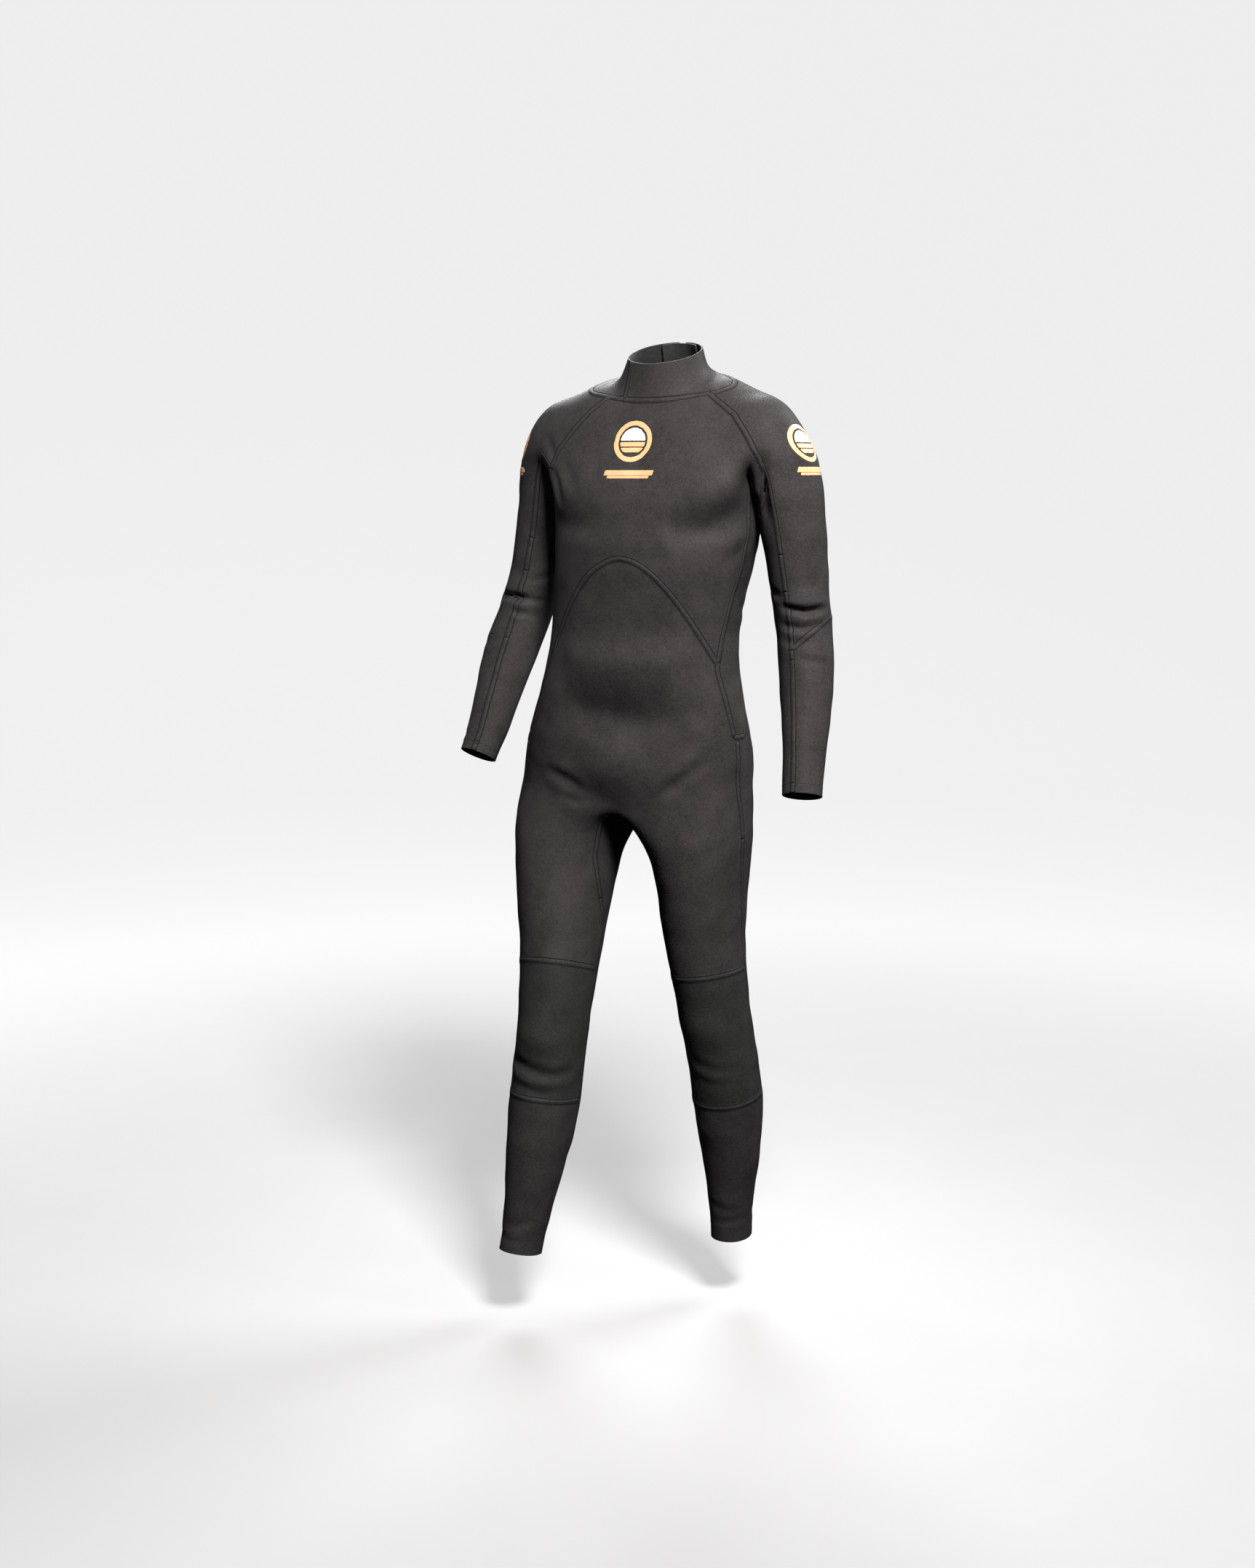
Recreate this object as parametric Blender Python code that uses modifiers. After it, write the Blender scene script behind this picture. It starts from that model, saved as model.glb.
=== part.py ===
"""A full-length wetsuit in the shape it takes when worn: a shell of separate neoprene panels.

Run with: blender --background --python part.py
Units are metres and +Z is up. The suit faces -Y, so +X is the wearer's left. Heights in the
tables are above the wearer's soles; the finished parts are moved so that the origin is the
centre of the neck opening, which is where the suit is held up.
"""

import math
from collections import namedtuple

import bmesh
import bpy
from mathutils import Vector

# ---------------------------------------------------------------- driving dimensions
NEOPRENE = 0.003
SEAM_GAP = 0.0005
TORSO_SIDES = 16
LIMB_SIDES = 12
NECK = Vector((0.040, 0.020, 1.530))  # centre of the neck opening, above the soles

# ---------------------------------------------------------------- the body form
# A ring is one cross-section of the torso: its height and centre, its half width, its depth to
# the front and to the back, how square it is (2 is an ellipse), how much higher its back is than
# its front (tip), and how much higher its sides are than its middle (arch).
Ring = namedtuple("Ring", "z x y wide front back square tip arch")
TORSO = (
    Ring(0.835, -0.005, 0.008, 0.192, 0.098, 0.124, 2.2, 0.000, 0.030),
    Ring(0.910, 0.000, 0.006, 0.191, 0.102, 0.114, 2.3, 0.000, 0.010),
    Ring(0.980, 0.005, 0.004, 0.176, 0.098, 0.094, 2.3, 0.000, 0.000),
    Ring(1.055, 0.010, 0.002, 0.158, 0.094, 0.078, 2.2, 0.000, 0.000),
    Ring(1.140, 0.017, 0.006, 0.154, 0.100, 0.098, 2.2, 0.000, 0.000),
    Ring(1.220, 0.028, 0.010, 0.162, 0.112, 0.107, 2.3, 0.000, 0.000),
    Ring(1.292, 0.034, 0.014, 0.171, 0.114, 0.109, 2.4, 0.000, 0.000),
    Ring(1.375, 0.034, 0.020, 0.171, 0.098, 0.103, 2.4, 0.010, 0.000),
    Ring(1.452, 0.034, 0.024, 0.158, 0.078, 0.091, 2.3, 0.022, 0.022),
    Ring(1.482, 0.036, 0.024, 0.108, 0.068, 0.084, 2.1, 0.028, 0.018),
    Ring(1.494, 0.038, 0.022, 0.073, 0.060, 0.070, 2.0, 0.026, 0.000),
    Ring(1.540, 0.041, 0.018, 0.059, 0.057, 0.060, 2.0, 0.020, 0.000),
)
SHOULDER_ROWS = (6, 8)  # the torso rings below and above the arm hole
SHOULDER_COLUMNS = (2, 6)  # its front and back edges, counted round from the front

# One cross-section of a limb: its centre, its half width and its half depth.
Section = namedtuple("Section", "x y z wide deep")
LEFT_ARM = (
    Section(0.216, 0.022, 1.414, 0.062, 0.064),
    Section(0.244, 0.026, 1.345, 0.057, 0.060),
    Section(0.255, 0.030, 1.265, 0.050, 0.056),
    Section(0.263, 0.034, 1.185, 0.044, 0.051),
    Section(0.272, 0.036, 1.115, 0.043, 0.047),
    Section(0.281, 0.022, 1.050, 0.043, 0.044),
    Section(0.289, 0.000, 0.980, 0.038, 0.038),
    Section(0.296, -0.026, 0.905, 0.032, 0.032),
    Section(0.299, -0.040, 0.862, 0.031, 0.031),
)
RIGHT_ARM = (
    Section(-0.146, 0.032, 1.414, 0.060, 0.064),
    Section(-0.172, 0.048, 1.345, 0.052, 0.060),
    Section(-0.184, 0.052, 1.268, 0.047, 0.055),
    Section(-0.199, 0.050, 1.194, 0.043, 0.051),
    Section(-0.217, 0.040, 1.130, 0.043, 0.047),
    Section(-0.232, 0.016, 1.068, 0.043, 0.044),
    Section(-0.243, -0.012, 1.000, 0.037, 0.038),
    Section(-0.252, -0.038, 0.933, 0.031, 0.032),
    Section(-0.259, -0.054, 0.898, 0.030, 0.031),
)
LEFT_LEG = (
    Section(0.114, 0.012, 0.765, 0.080, 0.096),
    Section(0.110, 0.014, 0.665, 0.066, 0.086),
    Section(0.120, 0.016, 0.575, 0.059, 0.072),
    Section(0.131, 0.018, 0.490, 0.056, 0.063),
    Section(0.142, 0.030, 0.410, 0.056, 0.060),
    Section(0.147, 0.044, 0.325, 0.055, 0.061),
    Section(0.147, 0.054, 0.240, 0.045, 0.050),
    Section(0.146, 0.060, 0.160, 0.034, 0.040),
    Section(0.145, 0.062, 0.107, 0.032, 0.038),
)
RIGHT_LEG = (
    Section(-0.122, -0.004, 0.765, 0.090, 0.096),
    Section(-0.112, -0.036, 0.665, 0.072, 0.086),
    Section(-0.101, -0.070, 0.575, 0.060, 0.072),
    Section(-0.099, -0.098, 0.490, 0.056, 0.063),
    Section(-0.104, -0.112, 0.410, 0.056, 0.060),
    Section(-0.110, -0.122, 0.328, 0.056, 0.061),
    Section(-0.117, -0.138, 0.243, 0.046, 0.050),
    Section(-0.124, -0.156, 0.163, 0.035, 0.040),
    Section(-0.128, -0.166, 0.112, 0.033, 0.038),
)
TRUNK, ARM, LEG = 0, 1, 2
CROTCH = ((-0.050, 0.832), (0.006, 0.818), (0.062, 0.830))  # (y, height), front to back


def b_spline_shrink(sides):
    """How far a ring of a subdivided cage lies inside its own corners, as a share."""
    return (2 + math.cos(2 * math.pi / sides)) / 3


def power(value, exponent):
    return math.copysign(abs(value) ** exponent, value)


def torso_point(ring, index):
    """Corner of a torso ring, counted round from the front towards the wearer's left."""
    angle = 2 * math.pi * index / TORSO_SIDES
    sine, cosine = math.sin(angle), math.cos(angle)
    grow = 1 / b_spline_shrink(TORSO_SIDES)
    depth = ring.front if cosine > 0 else ring.back
    return Vector((
        ring.x + ring.wide * grow * power(sine, 2 / ring.square),
        ring.y - depth * grow * power(cosine, 2 / ring.square),
        ring.z - ring.tip * cosine + ring.arch * sine * sine,
    ))


def directions(sections, start):
    """The way that a limb runs at each of its sections."""
    centres = [start] + [Vector(s[:3]) for s in sections]
    after = centres[2:] + [centres[-1] * 2 - centres[-2]]
    return [(b - a).normalized() for a, b in zip(centres[:-1], after)]


def leg_ring(section, along, side):
    across = (Vector((1, 0, 0)) - along * along.x).normalized()
    back = across.cross(along)
    grow = 1 / b_spline_shrink(LIMB_SIDES)
    points = []
    for j in range(LIMB_SIDES):
        angle = 2 * math.pi * (j - 1) / LIMB_SIDES
        out = across * (side * section.wide * grow * math.sin(angle))
        points.append(Vector(section[:3]) + out - back * (section.deep * grow * math.cos(angle)))
    return points


def arm_ring(section, along, side):
    back = (Vector((0, 1, 0)) - along * along.y).normalized()
    out = along.cross(back) * side
    grow = 1 / b_spline_shrink(LIMB_SIDES)
    points = []
    for j in range(LIMB_SIDES):
        angle = 2 * math.pi * j / LIMB_SIDES
        points.append(
            Vector(section[:3])
            + out * (section.wide * grow * math.cos(angle))
            + back * (section.deep * grow * math.sin(angle))
        )
    return points


def bridge(bm, upper, lower, limb):
    """Quads between two closed rings with as many corners, marked with their limb's number."""
    for j in range(len(upper)):
        k = (j + 1) % len(upper)
        face = bm.faces.new([upper[j], upper[k], lower[k], lower[j]])
        face.material_index = limb


def add_limb(bm, opening, sections, maker, side, limb):
    centre = sum((v.co for v in opening), Vector()) / len(opening)
    above = opening
    for section, along in zip(sections, directions(sections, centre)):
        below = [bm.verts.new(p) for p in maker(section, along, side)]
        bridge(bm, above, below, limb)
        above = below


def body_cage():
    """The coarse cage of the suit: torso, arms and legs, open at neck, wrists and ankles."""
    bm = bmesh.new()
    rows = [[bm.verts.new(torso_point(r, k)) for k in range(TORSO_SIDES)] for r in TORSO]
    low, high = SHOULDER_ROWS
    front, back = SHOULDER_COLUMNS
    for r in range(len(rows) - 1):
        for k in range(TORSO_SIDES):
            left_hole = front <= k < back
            right_hole = TORSO_SIDES - back <= k < TORSO_SIDES - front
            if low <= r < high and (left_hole or right_hole):
                continue
            n = (k + 1) % TORSO_SIDES
            bm.faces.new([rows[r][k], rows[r][n], rows[r + 1][n], rows[r + 1][k]])
    middle = (front + back) // 2
    for side, sections in ((1, LEFT_ARM), (-1, RIGHT_ARM)):
        top = [rows[high][side * k % TORSO_SIDES] for k in range(front, back + 1)]
        bottom = [rows[low][side * k % TORSO_SIDES] for k in range(front, back + 1)]
        between = range(low + 1, high)
        front_edge = [rows[r][side * front % TORSO_SIDES] for r in between]
        back_edge = [rows[r][side * back % TORSO_SIDES] for r in reversed(between)]
        half = middle - front
        opening = top[half:] + back_edge + bottom[::-1] + front_edge + top[:half]
        add_limb(bm, opening, sections, arm_ring, side, ARM)
    crotch = [bm.verts.new((TORSO[0].x, y, z)) for y, z in CROTCH]
    for side, sections in ((1, LEFT_LEG), (-1, RIGHT_LEG)):
        outer = [rows[0][side * k % TORSO_SIDES] for k in range(TORSO_SIDES // 2 + 1)]
        add_limb(bm, outer + crotch[::-1], sections, leg_ring, side, LEG)
    bmesh.ops.recalc_face_normals(bm, faces=bm.faces)
    return bm


def smooth_body(levels):
    """The cage as an object with its Subdivision Surface."""
    bm = body_cage()
    mesh = bpy.data.meshes.new("body_cage")
    bm.to_mesh(mesh)
    bm.free()
    cage = bpy.data.objects.new("body_cage", mesh)
    bpy.context.scene.collection.objects.link(cage)
    subdivision = cage.modifiers.new("Subdivision", "SUBSURF")
    subdivision.levels = subdivision.render_levels = levels
    return cage


# ---------------------------------------------------------------- lines drawn on the body
def table(rows):
    """A value read from a table of (height, value), straight between its rows."""
    rows = sorted(rows)

    def at(z):
        if z <= rows[0][0]:
            return rows[0][1]
        for (z0, v0), (z1, v1) in zip(rows, rows[1:]):
            if z <= z1:
                return v0 + (v1 - v0) * (z - z0) / (z1 - z0)
        return rows[-1][1]

    return at


BODY_MIDDLE = 0.034
LIMBS = {"left": (1, LEFT_ARM, LEFT_LEG), "right": (-1, RIGHT_ARM, RIGHT_LEG)}
RAGLAN = {  # how far each raglan seam lies from the middle of the body
    "left": table([(1.26, 0.158), (1.285, 0.176), (1.31, 0.190), (1.354, 0.196), (1.376, 0.189),
                   (1.409, 0.172), (1.442, 0.146), (1.471, 0.102), (1.50, 0.066)]),
    "right": table([(1.26, 0.155), (1.285, 0.166), (1.31, 0.170), (1.343, 0.168), (1.388, 0.148),
                    (1.422, 0.122), (1.45, 0.096), (1.473, 0.068), (1.50, 0.052)]),
}
FRONT_SIDE = table([(0.90, -0.022), (0.95, -0.027), (1.00, -0.032), (1.05, -0.041),
                    (1.15, -0.024), (1.25, -0.010), (1.33, -0.012)])
BACK_SIDE = table([(0.945, 0.000), (1.00, 0.024), (1.10, 0.044), (1.30, 0.056)])
SIDE_BOTTOM = 0.945
LUMBAR = 1.086
GROIN = Vector((-0.003, 0.0, 0.806))
GROIN_SLOPE = (0.574, -0.819)
HIP_LENGTH = 0.130
INNER_SEAM = table([(0.52, 0.010), (0.64, 0.006), (0.70, -0.030), (0.75, -0.055), (0.82, -0.065)])
OUTER_SEAM = table([(0.45, 0.020), (0.60, 0.010), (0.75, -0.015), (0.90, -0.030)])
KNEE = {"left": (0.561, 0.352), "right": (0.565, 0.362)}  # heights of the pad's two seams
ANKLE_HEM = 0.024
WRIST_HEM = 0.014
ARMPIT = 1.272
SHOULDER_LINE = (0.70, -0.714)
SHOULDER_START = {"left": Vector((0.230, 0, 1.297)), "right": Vector((-0.142, 0, 1.300))}
SHOULDER_LENGTH = 0.066
ELBOW = {"left": Vector((0.272, 0.036, 1.118)), "right": Vector((-0.217, 0.040, 1.132))}
ELBOW_HALF = 0.058

ZIP_LEAN = 0.055
ZIP_AXIS = Vector((1, 0, -ZIP_LEAN)).normalized()
ZIP_UP = Vector((ZIP_LEAN, 0, 1)).normalized()
ZIP_OUT = Vector((0, 1, 0))
ZIP_RADIUS = 0.990
ZIP_PIVOT = Vector((0.034, -0.867, 1.340))
ZIP_BOTTOM, ZIP_TOP = 1.096, 1.500
ZIP_SLOT = 0.0065  # half width


def raglan(side):
    way = LIMBS[side][0]
    return lambda p: way * (p.x - BODY_MIDDLE) - RAGLAN[side](p.z)


def arch(p):
    return 1.223 - 8.3 * (p.x - 0.017) ** 2 - p.z


def collar_base(p):
    return p.z - 1.490 - 0.40 * (p.y - 0.022)


def groin(side, beyond=0.0):
    way = LIMBS[side][0]
    return lambda p: way * (p.x - GROIN.x) * GROIN_SLOPE[0] + (p.z - GROIN.z) * GROIN_SLOPE[1] - beyond


def front_of_leg(side):
    way, _, leg = LIMBS[side]
    middle = table([(s.z, s.x) for s in leg])
    depth = table([(s.z, s.y) for s in leg])
    wide = table([(s.z, s.wide) for s in leg])

    def field(p):
        inner, outer = INNER_SEAM(p.z), OUTER_SEAM(p.z)
        across = way * (p.x - middle(p.z)) / wide(p.z)
        return depth(p.z) + (inner + outer) / 2 + (outer - inner) / 2 * across - p.y

    return field


def over_sleeve(side):
    """Which side of the sleeve's two long seams: the outer panel is positive."""
    way, arm, _ = LIMBS[side]
    middle = table([(s.z, s.x) for s in arm])
    depth = table([(s.z, s.y) for s in arm])
    wide = table([(s.z, s.wide) for s in arm])
    return lambda p: (
        way * (p.x - middle(p.z)) + 0.30 * (p.y - depth(p.z)) + 0.45 * wide(p.z)
    )


def past(sections, z, tilt=0.0):
    """How far down a limb a point lies past the middle of the limb at one height."""
    for above, below in zip(sections, sections[1:]):
        if below.z <= z:
            break
    share = (above.z - z) / (above.z - below.z)
    start, end = Vector(above[:3]), Vector(below[:3])
    along = (end - start).normalized()
    along = Vector((along.x, along.y + tilt, along.z)).normalized()
    at = start.lerp(end, share)
    return lambda p: (p - at).dot(along)


def end_of(sections, length):
    """Distance past the line one hem's width before the end of a limb."""
    start, end = Vector(sections[-2][:3]), Vector(sections[-1][:3])
    along = (end - start).normalized()
    return lambda p: (p - end).dot(along) + length


def zip_side(p):
    return (p - ZIP_PIVOT).dot(ZIP_AXIS)


def on_zip(z, radius=0.0, side=0.0):
    """A point on the zip's arc at one height, moved out from the arc and to one side."""
    angle = math.asin((z - ZIP_PIVOT.z) / ZIP_RADIUS)
    r = ZIP_RADIUS + radius
    return ZIP_PIVOT + ZIP_OUT * (r * math.cos(angle)) + ZIP_UP * (r * math.sin(angle)) + ZIP_AXIS * side


def end_plane(point):
    """The middle and facing of the flat cuff that a point lies on, if it lies on one."""
    for _, arm, leg in LIMBS.values():
        for sections in (arm, leg):
            start, end = Vector(sections[-2][:3]), Vector(sections[-1][:3])
            if (point - end).length < 0.06:
                return end, (end - start).normalized()
    return None


def ramp(value, start, end):
    share = min(max((value - start) / (end - start), 0.0), 1.0)
    return share * share * (3 - 2 * share)


def to_zip_arc(p):
    """The move that lays the back's middle on the zip's arc, fading out to the sides."""
    side = zip_side(p)
    weight = ramp(abs(side), 0.070, 0.030) * ramp(p.z, 1.060, 1.085) * ramp(p.z, 1.525, 1.500)
    if p.y < 0.04 or weight == 0:
        return Vector()
    arm = p - ZIP_PIVOT - ZIP_AXIS * side
    target = ZIP_RADIUS + 0.0006 - side * side / 0.90
    return arm.normalized() * ((target - arm.length) * weight)


# ---------------------------------------------------------------- cutting the body into panels
class Pattern:
    """The triangulated outer surface of the suit, cut into named panels."""

    def __init__(self, levels=1):
        cage = smooth_body(levels)
        cage.modifiers.new("Triangulate", "TRIANGULATE").quad_method = "SHORTEST_DIAGONAL"
        thinned = cage.modifiers.new("Decimate", "DECIMATE")
        thinned.ratio = 0.36
        depsgraph = bpy.context.evaluated_depsgraph_get()
        shape = cage.evaluated_get(depsgraph).to_mesh()
        self.bm = bm = bmesh.new()
        bm.from_mesh(shape)
        bpy.data.objects.remove(cage)
        for v in bm.verts:
            end = end_plane(v.co) if v.is_boundary else None
            if end:
                v.co -= end[1] * (v.co - end[0]).dot(end[1])
            v.co += to_zip_arc(v.co)
        bm.normal_update()
        self.normal = bm.verts.layers.float_vector.new("outward")
        self.panel = bm.faces.layers.int.new("panel")
        for v in bm.verts:
            v[self.normal] = v.normal
        self.names = ["body"]

    def faces(self, name):
        number = self.names.index(name)
        return [f for f in self.bm.faces if f[self.panel] == number]

    def cut(self, names, field, new, keep=lambda face, centre: True):
        """Cuts panels along the line where the field is zero; the positive side gets a new name."""
        bm = self.bm
        if isinstance(names, str):
            names = [names]
        numbers = [self.names.index(n) for n in names]
        chosen = [f for f in bm.faces if f[self.panel] in numbers and keep(f, f.calc_center_median())]
        value = {v: field(v.co) for f in chosen for v in f.verts}
        edges = {e for f in chosen for e in f.edges}
        for e in edges:
            a, b = e.verts
            if value[a] * value[b] < 0:
                share = value[a] / (value[a] - value[b])
                if share < 0.08:
                    value[a] = 0.0
                elif share > 0.92:
                    value[b] = 0.0
        crossing = [e for e in edges if value[e.verts[0]] * value[e.verts[1]] < 0]
        touched = {f for e in crossing for f in e.link_faces}
        for e in crossing:
            a, b = e.verts
            share = value[a] / (value[a] - value[b])
            outward = Vector(a[self.normal]).lerp(Vector(b[self.normal]), share).normalized()
            _, made = bmesh.utils.edge_split(e, a, share)
            made[self.normal] = outward
            value[made] = 0.0
        halves = set()
        for f in touched & set(chosen):
            ends = [v for v in f.verts if value[v] == 0.0]
            mixed = any(value[v] > 0 for v in f.verts) and any(value[v] < 0 for v in f.verts)
            if mixed and len(ends) == 2:
                other, _ = bmesh.utils.face_split(f, *ends)
                halves.update((f, other))
        for f in [f for f in chosen if f.is_valid] + list(halves):
            if max((value[v] for v in f.verts), key=abs) > 0:
                if new not in self.names:
                    self.names.append(new)
                f[self.panel] = self.names.index(new)
        bmesh.ops.triangulate(bm, faces=[f for f in touched | halves if f.is_valid and len(f.verts) > 3])

    def rename(self, name, new, keep):
        """Gives a new name to the faces of a panel that a test picks."""
        if new not in self.names:
            self.names.append(new)
        for f in self.faces(name):
            if keep(f, f.calc_center_median()):
                f[self.panel] = self.names.index(new)

    def merge_scraps(self):
        """Gives every loose scrap of a panel to the panel that it borders most."""
        for number in range(len(self.names)):
            left = {f for f in self.bm.faces if f[self.panel] == number}
            pieces = []
            while left:
                piece, front = set(), [min(left, key=lambda f: f.index)]
                left.discard(front[0])
                while front:
                    face = front.pop()
                    piece.add(face)
                    for e in face.edges:
                        for g in e.link_faces:
                            if g in left:
                                left.discard(g)
                                front.append(g)
                pieces.append(piece)
            pieces.sort(key=lambda piece: -sum(f.calc_area() for f in piece))
            for scrap in pieces[1:]:
                shared = {}
                for f in scrap:
                    for e in f.edges:
                        for g in e.link_faces:
                            if g not in scrap:
                                shared[g[self.panel]] = shared.get(g[self.panel], 0) + e.calc_length()
                if shared:
                    owner = max(sorted(shared), key=shared.get)
                    for f in scrap:
                        f[self.panel] = owner

    def copy(self):
        other = Pattern.__new__(Pattern)
        other.bm = self.bm.copy()
        other.names = list(self.names)
        other.normal = other.bm.verts.layers.float_vector["outward"]
        other.panel = other.bm.faces.layers.int["panel"]
        return other


def cut_panels(pattern):
    """Every seam of the suit, and the lines across which its limbs bend."""
    cut, rename = pattern.cut, pattern.rename
    every = lambda face, centre: True
    for side, (way, arm, leg) in LIMBS.items():
        cut("body", lambda p: ARMPIT - p.z, "sleeve", lambda f, c, way=way:
            f.material_index == ARM and way * (c.x - BODY_MIDDLE) > 0)
        cut("body", raglan(side), "sleeve", lambda f, c, way=way:
            way * (c.x - BODY_MIDDLE) > 0.03 and c.z > ARMPIT)
        shoulder = SHOULDER_START[side]
        start = lambda p, way=way, at=shoulder: (
            way * (p.x - at.x) * SHOULDER_LINE[0] + (p.z - at.z) * SHOULDER_LINE[1]
        )
        elbow = ELBOW[side].z
        upper = past(arm, elbow + ELBOW_HALF)
        lower = past(arm, elbow - ELBOW_HALF)
        cut("sleeve", lambda p: start(p) - SHOULDER_LENGTH, "upper")
        cut("upper", upper, "elbow")
        cut("elbow", lower, "forearm")
        cut("forearm", end_of(arm, WRIST_HEM), "wrist_hem_" + side)
        for zone, name in (("upper", "upper_sleeve"), ("elbow", "elbow_panel"), ("forearm", "forearm")):
            cut(zone, over_sleeve(side), name + "_outer_" + side)
            rename(zone, name + "_inner_" + side, every)
        rename("sleeve", "shoulder_panel_" + side, every)

        cut("body", groin(side), "leg",
            lambda f, c, way=way: way * (c.x - GROIN.x) > 0 and c.z < 1.05)
        cut("leg", groin(side, HIP_LENGTH), "thigh")
        top, bottom = KNEE[side]
        cut("thigh", past(leg, top), "knee")
        cut("knee", past(leg, bottom), "shin")
        cut("shin", end_of(leg, ANKLE_HEM), "ankle_hem_" + side)
        for zone, front, back in (
            ("leg", "hip_front", "hip_back"),
            ("thigh", "thigh_front", "thigh_back"),
            ("knee", "knee_pad", "knee_back"),
            ("shin", "shin_panel", "calf_panel"),
        ):
            cut(zone, front_of_leg(side), front + "_" + side)
            rename(zone, back + "_" + side, every)

    cut("body", collar_base, "collar")
    cut("body", lambda p: 0.848 - p.z, "crotch_gusset")
    cut("body", lambda p: FRONT_SIDE(p.z) - p.y, "front")
    cut("front", arch, "abdomen_panel")
    rename("front", "chest_panel", every)
    for side, (way, _, _) in LIMBS.items():
        cut("body", lambda p: BACK_SIDE(p.z) - p.y, "side",
            lambda f, c, way=way: way * (c.x - BODY_MIDDLE) > 0)
        cut("side", lambda p: p.z - SIDE_BOTTOM, "side_panel_" + side)
    rename("side", "body", every)
    cut("body", lambda p: p.z - LUMBAR, "back")
    rename("body", "seat_panel", every)
    behind = lambda f, c: c.y > 0.05
    for name in ("back", "collar"):
        cut(name, lambda p: zip_side(p) + ZIP_SLOT, name + "_half", behind)
        cut(name + "_half", lambda p: ZIP_SLOT - zip_side(p), "slot")
    rename("back_half", "back_panel_left", every)
    rename("back", "back_panel_right", every)
    rename("collar_half", "collar", every)
    bm = pattern.bm
    bm.faces.index_update()
    bm.verts.index_update()
    pattern.merge_scraps()
    return pattern


# ---------------------------------------------------------------- panels into solids
def inward(edge, face):
    """The direction in a face's plane that leads from one of its edges into the face."""
    a, b = edge.verts
    along = (b.co - a.co).normalized()
    into = face.normal.cross(along)
    centre = face.calc_center_median()
    return into if into.dot(centre - a.co) > 0 else -into


def pulled_back(edges, amounts):
    """The move that takes a corner in from each of the panel edges that meet there."""
    if len(edges) == 1:
        return edges[0] * amounts[0]
    a, b = edges[0], edges[-1]
    ga, gb = amounts[0], amounts[-1]
    c = a.dot(b)
    spread = 1 - c * c
    if spread < 0.05 or c < -0.9:
        return (a * ga + b * gb) * 0.5
    return a * ((ga - c * gb) / spread) + b * ((gb - c * ga) / spread)


def shell(pattern, name, top, bottom, gap=SEAM_GAP / 2):
    """A panel as vertices and faces of a closed solid between two depths under the surface."""
    bm = pattern.bm
    number = pattern.names.index(name)
    faces = [f for f in bm.faces if f[pattern.panel] == number]
    verts = sorted({v for f in faces for v in f.verts}, key=lambda v: v.index)
    place = {v: i for i, v in enumerate(verts)}
    rims = {}
    borders = []
    for f in faces:
        for loop in f.loops:
            e = loop.edge
            if sum(g[pattern.panel] == number for g in e.link_faces) == 1:
                open_end = e.is_boundary
                borders.append((loop.vert, loop.link_loop_next.vert))
                for v in e.verts:
                    rims.setdefault(v, []).append((inward(e, f), 0.0 if open_end else gap, open_end))
    outer, inner = [], []
    for v in verts:
        at, out = v.co.copy(), Vector(v[pattern.normal])
        if v in rims:
            at += pulled_back([r[0] for r in rims[v]], [r[1] for r in rims[v]])
            if any(r[2] for r in rims[v]):
                end = end_plane(v.co)
                if end:
                    out = (out - end[1] * out.dot(end[1])).normalized()
        outer.append(at + out * top)
        inner.append(at + out * bottom)
    count = len(verts)
    solid = [[place[v] for v in f.verts] for f in faces]
    solid += [[place[v] + count for v in reversed(f.verts)] for f in faces]
    for a, b in borders:
        i, j = place[a], place[b]
        if a.index < b.index:
            solid += [[j, i, j + count], [i, i + count, j + count]]
        else:
            solid += [[j, i, i + count], [j, i + count, j + count]]
    return outer + inner, solid


# ---------------------------------------------------------------- materials
def material(name, colour, roughness, metallic=0.0, sheen=0.0):
    made = bpy.data.materials.new(name)
    made.use_nodes = True
    shader = made.node_tree.nodes["Principled BSDF"]
    shader.inputs["Base Color"].default_value = (*colour, 1.0)
    shader.inputs["Roughness"].default_value = roughness
    shader.inputs["Metallic"].default_value = metallic
    shader.inputs["Sheen Weight"].default_value = sheen
    return made


def make_object(name, verts, faces, slot, smooth=True):
    mesh = bpy.data.meshes.new(name)
    mesh.from_pydata([tuple(Vector(v) - NECK) for v in verts], [], faces)
    mesh.validate()
    mesh.materials.append(slot)
    if smooth:
        mesh.shade_smooth()
        mesh.set_sharp_from_angle(angle=math.radians(50))
    made = bpy.data.objects.new(name, mesh)
    SUIT.objects.link(made)
    return made


# ---------------------------------------------------------------- the back zip
def sweep(stations, outline):
    """A bar along the zip's arc: an outline (side, radius) at each (height, widening)."""
    verts, faces = [], []
    for z, widen in stations:
        verts += [on_zip(z, r, s * widen) for s, r in outline]
    n = len(outline)
    for i in range(len(stations) - 1):
        for j in range(n):
            k = (j + 1) % n
            faces.append([i * n + j, (i + 1) * n + j, (i + 1) * n + k, i * n + k])
    faces.append(list(range(n)))
    faces.append([(len(stations) - 1) * n + j for j in reversed(range(n))])
    return verts, faces


def frame_at(z):
    """Across, along (upwards) and out from the zip's arc at one height."""
    angle = math.asin((z - ZIP_PIVOT.z) / ZIP_RADIUS)
    out = (ZIP_OUT * math.cos(angle) + ZIP_UP * math.sin(angle)).normalized()
    return ZIP_AXIS, out.cross(-ZIP_AXIS).normalized(), out


def extruded(z, profile, half_width, offset=0.0):
    """A side-on profile of (along, out) points on the zip's arc, given a width."""
    across, along, out = frame_at(z)
    base = on_zip(z)
    if along.z < 0:
        along = -along
    verts = [base + across * (offset + w) + along * t + out * r
             for w in (-half_width, half_width) for t, r in profile]
    n = len(profile)
    faces = [list(range(n)), list(reversed(range(n, 2 * n)))]
    for j in range(n):
        k = (j + 1) % n
        faces.append([k, j, j + n, k + n])
    return verts, faces


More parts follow.
